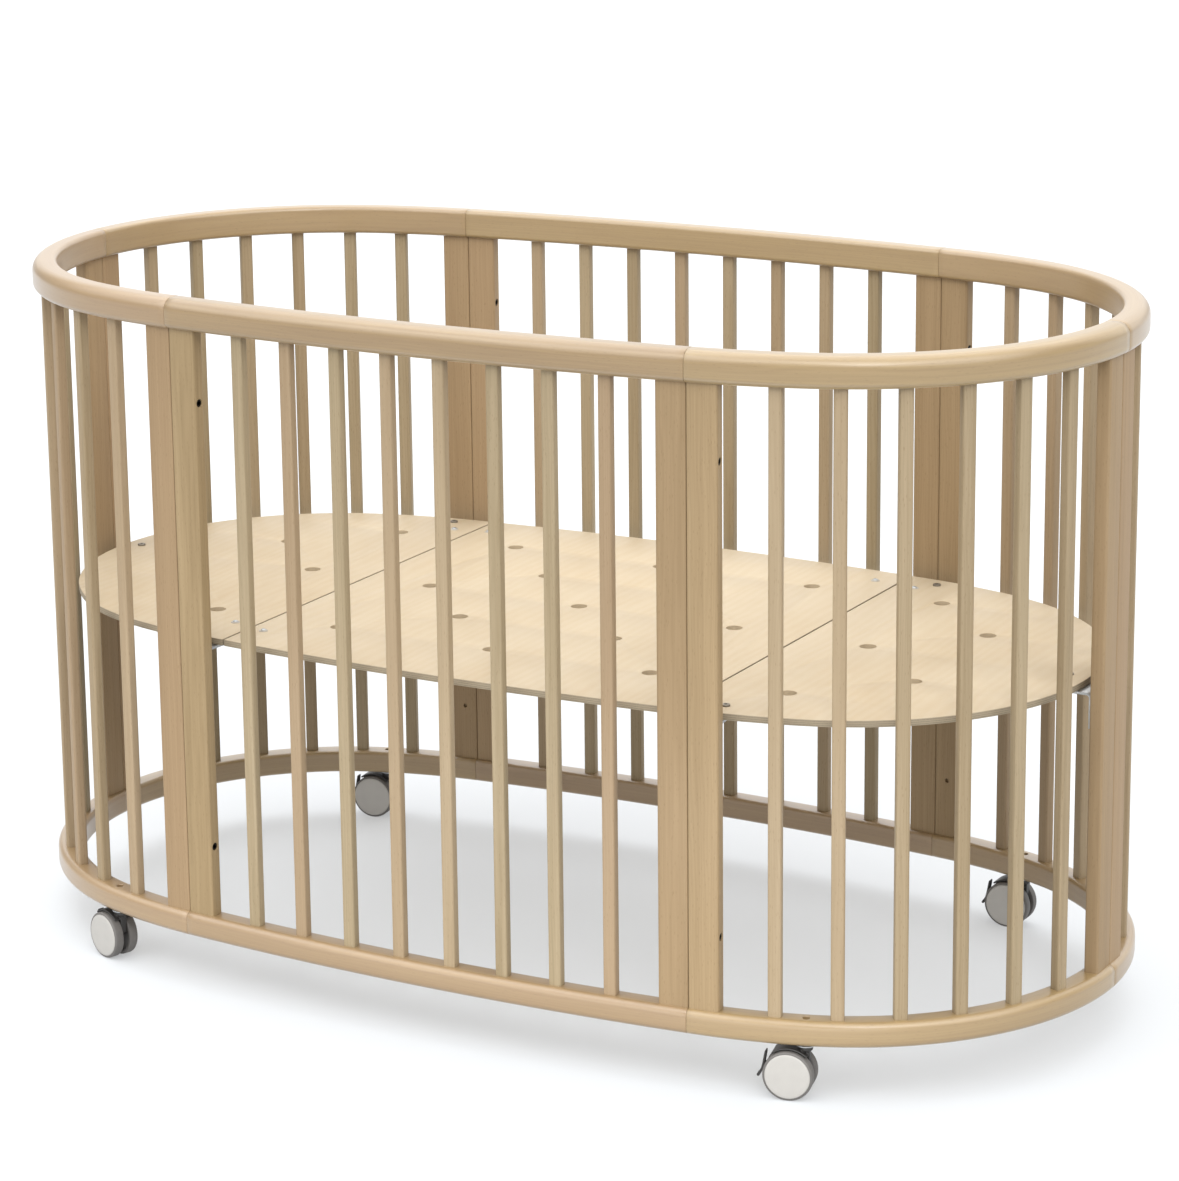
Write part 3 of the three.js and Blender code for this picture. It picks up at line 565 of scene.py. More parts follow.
def beech(name, light, dark, finish, gloss):
    """Beech under clear lacquer: pale straight-grained wood with soft streaks and faint growth rings, small
    ray flecks, a cast that differs from board to board, and an even sheen. gloss 1 is the rails' full satin
    lacquer, and a smaller value the thinner, duller coat of the slats and posts."""
    material = new_material(name)
    grain = add_node(material, "ShaderNodeAttribute", attribute_name="grain").outputs["Vector"]
    tone = add_node(material, "ShaderNodeAttribute", attribute_name="tone").outputs["Fac"]
    # Growth rings 3.4 mm apart. The tree's axis runs a degree or two off the board's, so the rings leave long
    # arches on a wide face.
    tree_axis = add_node(material, "ShaderNodeMapping",
                         {"Vector": grain, "Rotation": (0.022, 0.030, 0.0), "Scale": (1.0, 1.0, 0.08)})
    ring_scale = 2 * math.pi / (20 * 3.4 * MM)
    rings = add_node(material, "ShaderNodeTexWave",
                     {"Vector": tree_axis.outputs["Vector"], "Scale": ring_scale, "Distortion": 16.0,
                      "Detail": 2.0, "Detail Scale": 0.5, "Detail Roughness": 0.6},
                     wave_type="RINGS", rings_direction="Z", wave_profile="SIN")
    # Fibres 1.1 mm apart and 70 mm long, drawn coarser than real ones so that they show.
    fibre_scale = (1 / (1.1 * MM), 1 / (1.1 * MM), 1 / (70 * MM))
    fibre_place = add_node(material, "ShaderNodeVectorMath", {0: grain, 1: fibre_scale}, operation="MULTIPLY")
    fibres = add_node(material, "ShaderNodeTexNoise",
                      {"Vector": fibre_place.outputs[0], "Scale": 1.0, "Detail": 3.0, "Roughness": 0.6})
    # Streaks 5 mm wide and 300 mm long, and bands of tone 18 mm wide that run most of a board's length.
    streak_scale = (1 / (5 * MM), 1 / (5 * MM), 1 / (300 * MM))
    streak_place = add_node(material, "ShaderNodeVectorMath", {0: grain, 1: streak_scale},
                            operation="MULTIPLY")
    streaks = add_node(material, "ShaderNodeTexNoise",
                       {"Vector": streak_place.outputs[0], "Scale": 1.0, "Detail": 2.0, "Roughness": 0.5})
    band_scale = (1 / (18 * MM), 1 / (18 * MM), 1 / (420 * MM))
    band_place = add_node(material, "ShaderNodeVectorMath", {0: grain, 1: band_scale}, operation="MULTIPLY")
    bands = add_node(material, "ShaderNodeTexNoise",
                     {"Vector": band_place.outputs[0], "Scale": 1.0, "Detail": 2.0, "Roughness": 0.5})
    # Ray flecks 0.8 mm wide and 4 mm long, one in each cell of 2.6 by 12 mm.
    fleck_scale = (1 / (2.6 * MM), 1 / (2.6 * MM), 1 / (12 * MM))
    fleck_place = add_node(material, "ShaderNodeVectorMath", {0: grain, 1: fleck_scale}, operation="MULTIPLY")
    cells = add_node(material, "ShaderNodeTexVoronoi", {"Vector": fleck_place.outputs[0], "Scale": 1.0},
                     feature="F1")
    flecks = add_node(material, "ShaderNodeMapRange",
                      {"Value": cells.outputs["Distance"], "From Min": 0.08, "From Max": 0.24,
                       "To Min": 0.30, "To Max": 0.0})
    depth = add_node(material, "ShaderNodeMath", {0: rings.outputs["Fac"], 1: 0.14}, operation="MULTIPLY")
    depth = add_node(material, "ShaderNodeMath", {0: fibres.outputs["Fac"], 1: 0.40, 2: depth.outputs[0]},
                     operation="MULTIPLY_ADD")
    depth = add_node(material, "ShaderNodeMath", {0: streaks.outputs["Fac"], 1: 0.50, 2: depth.outputs[0]},
                     operation="MULTIPLY_ADD")
    depth = add_node(material, "ShaderNodeMath", {0: bands.outputs["Fac"], 1: 0.75, 2: depth.outputs[0]},
                     operation="MULTIPLY_ADD")
    depth = add_node(material, "ShaderNodeMath", {0: tone, 1: 0.34, 2: depth.outputs[0]},
                     operation="MULTIPLY_ADD")
    depth = add_node(material, "ShaderNodeMapRange",
                     {"Value": depth.outputs[0], "From Min": 0.60, "From Max": 1.46})
    wood = add_node(material, "ShaderNodeMix",
                    {"Factor": depth.outputs[0], 6: light, 7: dark}, data_type="RGBA")
    # The cast turns over several times within the range of tone, so it doesn't follow the board's darkness.
    cast = add_node(material, "ShaderNodeMath", {0: tone, 1: 5.3}, operation="MULTIPLY")
    cast = add_node(material, "ShaderNodeMath", {0: cast.outputs[0], 1: 1.0}, operation="PINGPONG")
    cast = add_node(material, "ShaderNodeMath", {0: cast.outputs[0], 1: 0.4}, operation="MULTIPLY")
    wood = add_node(material, "ShaderNodeMix",
                    {"Factor": cast.outputs[0], 6: wood.outputs[2], 7: finish.beech_rosy}, data_type="RGBA")
    wood = add_node(material, "ShaderNodeMix",
                    {"Factor": flecks.outputs[0], 6: wood.outputs[2], 7: finish.beech_fleck},
                    data_type="RGBA")
    sheen = add_node(material, "ShaderNodeMapRange",
                     {"Value": fibres.outputs["Fac"], "To Min": 0.70 - 0.30 * gloss,
                      "To Max": 0.85 - 0.35 * gloss})
    relief = add_node(material, "ShaderNodeBump",
                      {"Height": fibres.outputs["Fac"], "Strength": 0.3, "Distance": 0.04 * MM})
    shader = add_node(material, "ShaderNodeBsdfPrincipled",
                      {"Base Color": wood.outputs[2], "Roughness": sheen.outputs[0], "IOR": 1.5,
                       "Specular IOR Level": 0.5 * gloss, "Coat Weight": gloss, "Coat Roughness": 0.3,
                       "Normal": relief.outputs["Normal"]})
    add_node(material, "ShaderNodeOutputMaterial", {"Surface": shader.outputs["BSDF"]})
    return material


def birch_veneer(finish):
    """Rotary-cut birch face veneer under clear lacquer: very pale, with broad low waves of figure."""
    material = new_material("birch_veneer")
    grain = add_node(material, "ShaderNodeAttribute", attribute_name="grain").outputs["Vector"]
    tone = add_node(material, "ShaderNodeAttribute", attribute_name="tone").outputs["Fac"]
    stretched = add_node(material, "ShaderNodeMapping", {"Vector": grain, "Scale": (1.0, 1.0, 0.22)})
    # Figure lines about 14 mm apart.
    waves = add_node(material, "ShaderNodeTexWave",
                     {"Vector": stretched.outputs["Vector"], "Scale": 2 * math.pi / (20 * 14 * MM),
                      "Distortion": 14.0, "Detail": 3.0, "Detail Scale": 0.45, "Detail Roughness": 0.5},
                     wave_type="BANDS", bands_direction="X", wave_profile="SIN")
    # Clouds of tone 60 mm wide and 160 mm long.
    cloud_scale = (1 / (60 * MM), 1 / (60 * MM), 1 / (160 * MM))
    cloud_place = add_node(material, "ShaderNodeVectorMath", {0: grain, 1: cloud_scale}, operation="MULTIPLY")
    clouds = add_node(material, "ShaderNodeTexNoise",
                      {"Vector": cloud_place.outputs[0], "Scale": 1.0, "Detail": 3.0, "Roughness": 0.55})
    # Pores 1.2 mm apart and 16 mm long, drawn coarser than real ones so that they show.
    pore_scale = (1 / (1.2 * MM), 1 / (1.2 * MM), 1 / (16 * MM))
    pore_place = add_node(material, "ShaderNodeVectorMath", {0: grain, 1: pore_scale}, operation="MULTIPLY")
    pores = add_node(material, "ShaderNodeTexNoise",
                     {"Vector": pore_place.outputs[0], "Scale": 1.0, "Detail": 2.0, "Roughness": 0.6})
    depth = add_node(material, "ShaderNodeMath", {0: waves.outputs["Fac"], 1: 0.12}, operation="MULTIPLY")
    depth = add_node(material, "ShaderNodeMath", {0: clouds.outputs["Fac"], 1: 0.75, 2: depth.outputs[0]},
                     operation="MULTIPLY_ADD")
    depth = add_node(material, "ShaderNodeMath", {0: pores.outputs["Fac"], 1: 0.30, 2: depth.outputs[0]},
                     operation="MULTIPLY_ADD")
    depth = add_node(material, "ShaderNodeMath", {0: tone, 1: 0.08, 2: depth.outputs[0]},
                     operation="MULTIPLY_ADD")
    depth = add_node(material, "ShaderNodeMapRange",
                     {"Value": depth.outputs[0], "From Min": 0.35, "From Max": 1.05})
    veneer = add_node(material, "ShaderNodeMix",
                      {"Factor": depth.outputs[0], 6: finish.birch_light, 7: finish.birch_dark},
                      data_type="RGBA")
    relief = add_node(material, "ShaderNodeBump",
                      {"Height": pores.outputs["Fac"], "Strength": 0.25, "Distance": 0.03 * MM})
    shader = add_node(material, "ShaderNodeBsdfPrincipled",
                      {"Base Color": veneer.outputs[2], "Roughness": 0.55, "IOR": 1.5,
                       "Specular IOR Level": 0.25, "Normal": relief.outputs["Normal"]})
    add_node(material, "ShaderNodeOutputMaterial", {"Surface": shader.outputs["BSDF"]})
    return material


def plywood_edge(name, long_grain, end_grain, bottom, thickness):
    """Cut edge of the plywood: thin plies, light where the grain runs along and brown at the end grain."""
    plies = 7
    material = new_material(name)
    place = add_node(material, "ShaderNodeTexCoord").outputs["Object"]
    height = add_node(material, "ShaderNodeSeparateXYZ", {0: place}).outputs["Z"]
    layer = add_node(material, "ShaderNodeMapRange",
                     {"Value": height, "From Min": bottom, "From Max": bottom + thickness,
                      "To Min": 0.0, "To Max": plies / 2})
    phase = add_node(material, "ShaderNodeMath", {0: layer.outputs[0]}, operation="FRACT")
    across = add_node(material, "ShaderNodeMapRange",
                      {"Value": phase.outputs[0], "From Min": 0.44, "From Max": 0.56})
    # Torn fibres 1.5 mm apart, as a saw leaves them.
    speckle = add_node(material, "ShaderNodeTexNoise",
                       {"Vector": place, "Scale": 1 / (1.5 * MM), "Detail": 2.0})
    layers = add_node(material, "ShaderNodeMix",
                      {"Factor": across.outputs[0], 6: long_grain, 7: end_grain}, data_type="RGBA")
    dusty = add_node(material, "ShaderNodeMix",
                     {"Factor": speckle.outputs["Fac"], 6: layers.outputs[2], 7: long_grain},
                     data_type="RGBA")
    relief = add_node(material, "ShaderNodeBump",
                      {"Height": speckle.outputs["Fac"], "Strength": 0.4, "Distance": 0.08 * MM})
    shader = add_node(material, "ShaderNodeBsdfPrincipled",
                      {"Base Color": dusty.outputs[2], "Roughness": 0.68, "IOR": 1.5,
                       "Normal": relief.outputs["Normal"]})
    add_node(material, "ShaderNodeOutputMaterial", {"Surface": shader.outputs["BSDF"]})
    return material


def plated_steel(name, base, roughness, spangle):
    """Plated or blacked steel: fine mottling in the gloss, from the pickled surface under the plating."""
    material = new_material(name)
    place = add_node(material, "ShaderNodeTexCoord").outputs["Object"]
    # Mottling 2.5 mm across, drawn coarser than real so that it shows.
    mottle = add_node(material, "ShaderNodeTexNoise",
                      {"Vector": place, "Scale": 1 / (2.5 * MM), "Detail": 4.0, "Roughness": 0.65})
    gloss = add_node(material, "ShaderNodeMapRange",
                     {"Value": mottle.outputs["Fac"], "From Min": 0.3, "From Max": 0.7,
                      "To Min": roughness - 0.08, "To Max": roughness + 0.1})
    shade = add_node(material, "ShaderNodeMapRange",
                     {"Value": mottle.outputs["Fac"], "From Min": 0.25, "From Max": 0.75, "To Max": spangle})
    darker = tuple(part * 0.6 for part in base[:3]) + (1.0,)
    tint = add_node(material, "ShaderNodeMix", {"Factor": shade.outputs[0], 6: base, 7: darker},
                    data_type="RGBA")
    shader = add_node(material, "ShaderNodeBsdfPrincipled",
                      {"Base Color": tint.outputs[2], "Metallic": 1.0, "Roughness": gloss.outputs[0]})
    add_node(material, "ShaderNodeOutputMaterial", {"Surface": shader.outputs["BSDF"]})
    return material


def moulded_plastic(name, base, roughness, spark_grain):
    """Moulded nylon or soft rubber: even colour with a fine spark-eroded grain that breaks up its sheen."""
    material = new_material(name)
    place = add_node(material, "ShaderNodeTexCoord").outputs["Object"]
    grain = add_node(material, "ShaderNodeTexNoise",
                     {"Vector": place, "Scale": 1 / spark_grain, "Detail": 3.0, "Roughness": 0.6})
    # Patches 14 mm across where handling has changed the tone and the sheen a little.
    cloud = add_node(material, "ShaderNodeTexNoise", {"Vector": place, "Scale": 1 / (14 * MM), "Detail": 2.0})
    handled = add_node(material, "ShaderNodeMapRange",
                       {"Value": cloud.outputs["Fac"], "From Min": 0.3, "From Max": 0.7, "To Max": 0.25})
    darker = tuple(part * 0.82 for part in base[:3]) + (1.0,)
    tint = add_node(material, "ShaderNodeMix", {"Factor": handled.outputs[0], 6: base, 7: darker},
                    data_type="RGBA")
    sheen = add_node(material, "ShaderNodeMapRange",
                     {"Value": cloud.outputs["Fac"], "To Min": roughness - 0.06, "To Max": roughness + 0.06})
    relief = add_node(material, "ShaderNodeBump",
                      {"Height": grain.outputs["Fac"], "Strength": 0.3, "Distance": 0.04 * MM})
    shader = add_node(material, "ShaderNodeBsdfPrincipled",
                      {"Base Color": tint.outputs[2], "Roughness": sheen.outputs[0], "IOR": 1.53,
                       "Normal": relief.outputs["Normal"]})
    add_node(material, "ShaderNodeOutputMaterial", {"Surface": shader.outputs["BSDF"]})
    return material


def glowing_floor(shade, glow):
    """White floor lit from below, as a light table is, so that shadows on it stay pale."""
    material = new_material("studio_floor")
    shader = add_node(material, "ShaderNodeBsdfPrincipled",
                      {"Base Color": shade, "Roughness": 0.9, "Emission Color": (0.99, 0.995, 1.0, 1.0),
                       "Emission Strength": glow})
    add_node(material, "ShaderNodeOutputMaterial", {"Surface": shader.outputs["BSDF"]})
    return material


class Finishes:
    """Every material of the crib, made on first use."""

    def __init__(self):
        self.made = {}

    def get(self, name):
        if name not in self.made:
            self.made[name] = self.make(name, bpy.context.scene.crib_finish)
        return self.made[name]

    def make(self, name, finish):
        low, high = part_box("base_panel_middle")
        plies = (low.z, high.z - low.z)
        makers = {
            "rail_beech": lambda: beech("satin_beech", finish.rail_light, finish.rail_dark, finish, 1.0),
            "slat_beech": lambda: beech("dull_slat_beech", finish.slat_light, finish.slat_dark, finish, 0.25),
            "post_beech": lambda: beech("dull_post_beech", finish.post_light, finish.post_dark, finish, 0.25),
            "veneer": lambda: birch_veneer(finish),
            "ply_edge": lambda: plywood_edge("plywood_edge", finish.ply_long, finish.ply_end, *plies),
            # The vent walls take paler colours than the cut edges: painted light that lifts the shade inside
            # the vent holes.
            "ply_bore_painted_light": lambda: plywood_edge("plywood_bore_painted_light", finish.birch_dark, finish.ply_long, *plies),
            "zinc": lambda: plated_steel("zinc_plated_steel", tuple(finish.zinc), 0.36, 0.35),
            "dull_steel": lambda: plated_steel("dull_plated_steel", tuple(finish.base_bolt), 0.5, 0.3),
            "black_steel": lambda: plated_steel("black_oxide_steel", tuple(finish.black_steel), 0.42, 0.4),
            "black_nylon": lambda: moulded_plastic("black_nylon", tuple(finish.black_nylon), 0.46, 0.35 * MM),
            "pale_nylon": lambda: moulded_plastic("pale_nylon", tuple(finish.pale_nylon), 0.42, 0.4 * MM),
            "sand_nylon": lambda: moulded_plastic("sand_nylon", tuple(finish.sand_nylon), 0.5, 0.4 * MM),
            "tread": lambda: moulded_plastic("grey_soft_tread", tuple(finish.grey_tread), 0.6, 0.6 * MM),
        }
        return makers[name]()


finishes = Finishes()


# ---------------------------------------------------------------------------------------------------------
# Rails, slats and posts
# ---------------------------------------------------------------------------------------------------------

RAIL_STEP = 10 * MM


def rail_mesh(plan, section, bottom, top, crown, timber, name):
    """One rail section, swept along the plan, its ends eased so that the seams show as fine lines. crown is
    the rounding of its upper outer edge."""
    _, start, end, _ = section
    rounds = (crown, timber.inner_round, timber.inner_round, timber.outer_round)
    outline = rounded_outline(timber.rail_width, top - bottom, rounds, steps=8)
    middle = (bottom + top) / 2
    stations = along(start + timber.joint_gap / 2, end - timber.joint_gap / 2, RAIL_STEP)
    bm = bmesh.new()
    rings = []
    for s, inset in eased_stations(stations, timber.seam_chamfer):
        place, out = plan.point(s)
        lift = Vector((0.0, 0.0, 1.0))
        rings.append([place + out * x + lift * (middle + y) for x, y in shrunk(outline, inset)])
    skin(bm, rings)
    return mesh_from(bm, name)


def rail_grain(plan, bottom):
    """How a point lies in a rail: the fibres follow the bend."""
    def locate(point):
        s, offset = plan.locate(point)
        return offset, point.z - bottom, s
    return locate


def bar_grain(matrix):
    """How a point lies in an upright bar."""
    inverse = matrix.inverted()

    def locate(point):
        local = inverse @ point
        return local.x, local.y, local.z
    return locate


def drill(radius, depth, rim=0.5 * MM, segments=40):
    """Cutter for a blind hole down from z = 0, with an eased rim."""
    bm = bmesh.new()
    lathe(bm, [(0, -depth), (radius, -depth), (radius, -rim), (radius + rim, 0), (radius + rim, rim),
               (0, rim)], segments)
    return bm


def aimed(place, direction):
    """Matrix that puts z = 0 at place and Z along direction."""
    return Matrix.Translation(place) @ direction.to_track_quat("Z", "Y").to_matrix().to_4x4()


class CRIB_OT_top_rails(bpy.types.Operator):
    """Adds the six sections of the top rail"""
    bl_idname = "crib.top_rails"
    bl_label = "Top rails"

    def execute(self, context):
        plan, timber = crib_plan(context.scene), context.scene.crib_timber
        for section in sections(plan):
            name = f"top_rail_{section[0]}"
            low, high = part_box(name)
            mesh = rail_mesh(plan, section, low.z, high.z, timber.crown_round, timber, name)
            write_grain(mesh, rail_grain(plan, low.z), name)
            add_piece(f"{name}_beech", mesh, [finishes.get("rail_beech")], replaced=[name])
        return {"FINISHED"}


class CRIB_OT_lower_rails(bpy.types.Operator):
    """Adds the six sections of the lower rail, bored for the caster stems"""
    bl_idname = "crib.lower_rails"
    bl_label = "Lower rails"

    def execute(self, context):
        plan, timber = crib_plan(context.scene), context.scene.crib_timber
        caster = context.scene.crib_caster
        stems = {corner: matrix for corner, matrix, _ in caster_places()}
        for section in sections(plan):
            node = f"lower_rail_and_slats_{section[0]}"
            name = f"lower_rail_{section[0]}_beech"
            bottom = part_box(node)[0].z
            top = bottom + timber.lower_rail_depth
            mesh = rail_mesh(plan, section, bottom, top, timber.outer_round, timber, name)
            if section[0] in stems:
                bore = drill(caster.stem_radius + timber.joint_gap, 2 * timber.lower_rail_depth)
                place = stems[section[0]].translation
                lift = Matrix.Translation((place.x, place.y, top))
                bmesh.ops.transform(bore, matrix=lift, verts=bore.verts)
                mesh = combined(mesh, mesh_from(bore, "bore"), "DIFFERENCE", name)
            write_grain(mesh, rail_grain(plan, bottom), name)
            add_piece(name, mesh, [finishes.get("rail_beech")], replaced=[node])
        return {"FINISHED"}


class CRIB_OT_slats(bpy.types.Operator):
    """Adds the slats of every section, tenoned into both rails"""
    bl_idname = "crib.slats"
    bl_label = "Slats"

    def execute(self, context):
        plan, timber = crib_plan(context.scene), context.scene.crib_timber
        rounds = (timber.slat_round,) * 4
        outline = rounded_outline(timber.slat_width, timber.slat_depth, rounds, steps=5)
        for section in sections(plan):
            low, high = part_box(f"lower_rail_and_slats_{section[0]}")
            bottom = low.z + timber.lower_rail_depth - timber.tenon
            top = high.z + timber.joint_gap + timber.tenon
            for number, s in enumerate(slat_places(section, timber), 1):
                name = f"slat_{section[0]}_{number}"
                matrix = plan.frame_at(s)
                bm = bmesh.new()
                prism(bm, outline, bottom, top, matrix)
                mesh = mesh_from(bm, name)
                write_grain(mesh, bar_grain(matrix), name)
                add_piece(name, mesh, [finishes.get("slat_beech")])
        return {"FINISHED"}


def bolt_heights(timber, low, high):
    """Heights of a post's two connecting bolts, between the rail faces at low and high."""
    return (low + timber.bolt_from_rail, high - timber.bolt_from_rail)


class CRIB_OT_posts(bpy.types.Operator):
    """Adds the paired posts at the six joints, drilled for the connecting bolts"""
    bl_idname = "crib.posts"
    bl_label = "Posts"

    def execute(self, context):
        plan, timber = crib_plan(context.scene), context.scene.crib_timber
        for joint, s in zip(JOINTS, joint_places(plan)):
            for side, which in ((-1, joint[1]), (1, joint[2])):
                self.add_post(plan, timber, joint, s, side, f"post_{joint[0]}_{which}")
        return {"FINISHED"}

    def add_post(self, plan, timber, joint, s, side, node):
        """side is 1 for the post after the joint, and -1 for the one before it."""
        low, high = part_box(node)
        middle = side * (timber.post_width + timber.joint_gap) / 2
        matrix = plan.frame_at(s) @ Matrix.Translation((middle, 0, 0))
        free, joined = timber.post_round, timber.post_joint_round
        rounds = (free, joined, joined, free) if side > 0 else (joined, free, free, joined)
        outline = rounded_outline(timber.post_width, timber.post_depth, rounds, steps=5)
        bm = bmesh.new()
        prism(bm, outline, low.z - timber.tenon, high.z + timber.tenon, matrix)
        mesh = mesh_from(bm, node)
        if not joint[3]:
            write_grain(mesh, bar_grain(matrix), node)
            add_piece(f"{node}_beech", mesh, [finishes.get("post_beech")], replaced=[node])
            return
        holes = bmesh.new()
        for height in bolt_heights(timber, low.z - timber.joint_gap, high.z + timber.joint_gap):
            mouth = matrix @ Vector((side * timber.post_width / 2, 0, height))
            outwards = matrix.to_3x3() @ Vector((side, 0, 0))
            self.add_hole(holes, mouth, outwards, timber.bolt_hole_radius, timber.bolt_hole_depth)
        if joint[3] == side:
            offset = side * timber.spare_hole_from_joint - middle
            mouth = matrix @ Vector((offset, timber.post_depth / 2, timber.spare_hole_height))
            inwards = matrix.to_3x3() @ Vector((0, 1, 0))
            self.add_hole(holes, mouth, inwards, timber.spare_hole_radius, timber.spare_hole_depth)
        mesh = combined(mesh, mesh_from(holes, "holes"), "DIFFERENCE", node)
        write_grain(mesh, bar_grain(matrix), node)
        add_piece(f"{node}_beech", mesh, [finishes.get("post_beech")], replaced=[node])

    def add_hole(self, holes, mouth, direction, radius, depth):
        """Adds a cutter at mouth that drills away from direction."""
        cutter = drill(radius, depth)
        bmesh.ops.transform(cutter, matrix=aimed(mouth, direction), verts=cutter.verts)
        mesh = mesh_from(cutter, "cutter")
        holes.from_mesh(mesh)
        bpy.data.meshes.remove(mesh)


def socket_head(radius, height, socket_width, socket_depth, name):
    """Round bolt head with a hexagon socket, its top at z = 0."""
    edge = 0.14 * radius
    bm = bmesh.new()
    lathe(bm, [(0, -height), (radius - edge / 2, -height), (radius, -height + edge / 2), (radius, -edge),
               (radius - 0.3 * edge, -0.3 * edge), (radius - edge, 0), (0, 0)], 48)
    hexagon = [(socket_width / math.sqrt(3) * math.cos(math.radians(60 * i)),
                socket_width / math.sqrt(3) * math.sin(math.radians(60 * i))) for i in range(6)]
    socket = bmesh.new()
    prism(socket, hexagon, -socket_depth, MM)
    return combined(mesh_from(bm, name), mesh_from(socket, "socket"), "DIFFERENCE", name)


class CRIB_OT_connecting_bolts(bpy.types.Operator):
    """Adds the heads of the bolts that hold each pair of posts together, sunk in their holes"""
    bl_idname = "crib.connecting_bolts"
    bl_label = "Connecting bolts"

    def execute(self, context):
        plan, timber = crib_plan(context.scene), context.scene.crib_timber
        sunk = 1.2 * MM
        head = socket_head(timber.bolt_hole_radius - 0.3 * MM, timber.bolt_hole_depth - sunk, 5 * MM, 4 * MM,
                           "connecting_bolt_head")
        corners = [(joint, s) for joint, s in zip(JOINTS, joint_places(plan)) if joint[3]]
        for joint, s in corners:
            for side, which in ((-1, joint[1]), (1, joint[2])):
                low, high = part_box(f"post_{joint[0]}_{which}")
                matrix = plan.frame_at(s)
                outwards = matrix.to_3x3() @ Vector((side, 0, 0))
                reach = side * (timber.post_width + timber.joint_gap / 2 - sunk)
                heights = bolt_heights(timber, low.z - timber.joint_gap, high.z + timber.joint_gap)
                for level, height in zip(("lower", "upper"), heights):
                    place = aimed(matrix @ Vector((reach, 0, height)), outwards)
                    add_piece(f"bolt_head_{joint[0]}_{which}_{level}", head, [finishes.get("black_steel")],
                              matrix=place)
        return {"FINISHED"}


# ---------------------------------------------------------------------------------------------------------
# Mattress base
# ---------------------------------------------------------------------------------------------------------

BASE_STEP = 6 * MM


def base_edge(plan, inset, start, end):
    """Points of the base's edge between two places of the plan."""
    return [plan.point(s, -inset)[0] for s in along(start, end, BASE_STEP)]


def base_edge_at(plan, inset, x):
    """Place along the plan where the base's edge on a side is x from the middle."""
    radius = plan.arcs[0][0]
    return radius * math.asin(x / (radius - inset))


def vent_places(base, panel):
    """Middles of a panel's vent holes: -1, 0 and 1 name the left, middle and right panels."""
    if panel == 0:
        columns = [(step * base.vent_pitch, step % 2) for step in range(-2, 3)]
    else:
        columns = [(panel * (base.end_column + step * base.vent_pitch), step) for step in range(2)]
    places = []
    for x, is_narrow in columns:
        for row in ((-1, 1) if is_narrow else (-2, 0, 2)):
            places.append((x + base.vent_shift_x, row * base.vent_pitch + base.vent_shift_y))
    return places


def panel_mesh(outline, vents, base, low, high, name):
    """Flat panel with eased edges and round vents, made as a filled and extruded curve."""
    ease = base.edge_chamfer
    curve = bpy.data.curves.new(name, "CURVE")
    curve.dimensions, curve.fill_mode = "2D", "BOTH"
    curve.extrude = (high - low) / 2 - ease
    curve.bevel_depth, curve.bevel_resolution = ease, 1
    curve.offset = -ease
    loops = [[(point.x, point.y) for point in outline]]
    for x, y in vents:
        turns = [2 * math.pi * i / 48 for i in range(48)]
        radius = base.vent_radius
        loops.append([(x + radius * math.cos(t), y - radius * math.sin(t)) for t in turns])
    for loop in loops:
        spline = curve.splines.new("POLY")
        spline.points.add(len(loop) - 1)
        spline.use_cyclic_u = True
        for point, (x, y) in zip(spline.points, loop):
            point.co = (x, y, 0.0, 1.0)
    obj = temporary(curve)
    mesh = evaluated(obj, name)
    mesh.transform(Matrix.Translation((0, 0, (low + high) / 2)))
    bm = bmesh.new()
    bm.from_mesh(mesh)
    bmesh.ops.remove_doubles(bm, verts=bm.verts, dist=0.01 * MM)
    bmesh.ops.recalc_face_normals(bm, faces=bm.faces)
    bm.to_mesh(mesh)
    bm.free()
    return mesh


class CRIB_OT_base_panels(bpy.types.Operator):
    """Adds the three plywood panels of the mattress base"""
    bl_idname = "crib.base_panels"
    bl_label = "Base panels"

    def execute(self, context):
        plan, base = crib_plan(context.scene), context.scene.crib_base
        inset = plan.half_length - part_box("base_panel_right")[1].x
        low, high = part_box("base_panel_middle")
        first = base_edge_at(plan, inset, low.x + base.seam_ease)
        last = base_edge_at(plan, inset, high.x - base.seam_ease)
        left = base_edge_at(plan, inset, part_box("base_panel_left")[1].x - base.seam_ease)
        right = base_edge_at(plan, inset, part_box("base_panel_right")[0].x + base.seam_ease)
        back = 2 * plan.quarter
        stretches = {
            "middle": [(first, last), (back - last, back - first)],
            "right": [(right, back - right)],
            "left": [(back - left, 2 * back + left)],
        }
        for panel, which in ((0, "middle"), (1, "right"), (-1, "left")):
            node = f"base_panel_{which}"
            low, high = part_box(node)
            outline = [point for stretch in stretches[which] for point in base_edge(plan, inset, *stretch)]
            mesh = panel_mesh(outline, vent_places(base, panel), base, low.z, high.z, node)
            for material in ("veneer", "ply_edge", "ply_bore_painted_light"):
                mesh.materials.append(finishes.get(material))
            vents = [Vector((x, y)) for x, y in vent_places(base, panel)]
            for face in mesh.polygons:
                is_edge = abs(face.normal.z) < 0.9
                in_vent = min((face.center.xy - vent).length for vent in vents) < base.vent_radius + MM
                # Faces inside a vent take the paler bore finish, painted light against the shade in the
                # holes.
                face.material_index = 0 if not is_edge else 2 if in_vent else 1
                face.use_smooth = is_edge
            mesh.set_sharp_from_angle(angle=math.radians(30))
            write_grain(mesh, lambda point: (point.x, point.z, point.y), node)
            add_piece(f"{node}_plywood", mesh, [], replaced=[node])
        return {"FINISHED"}


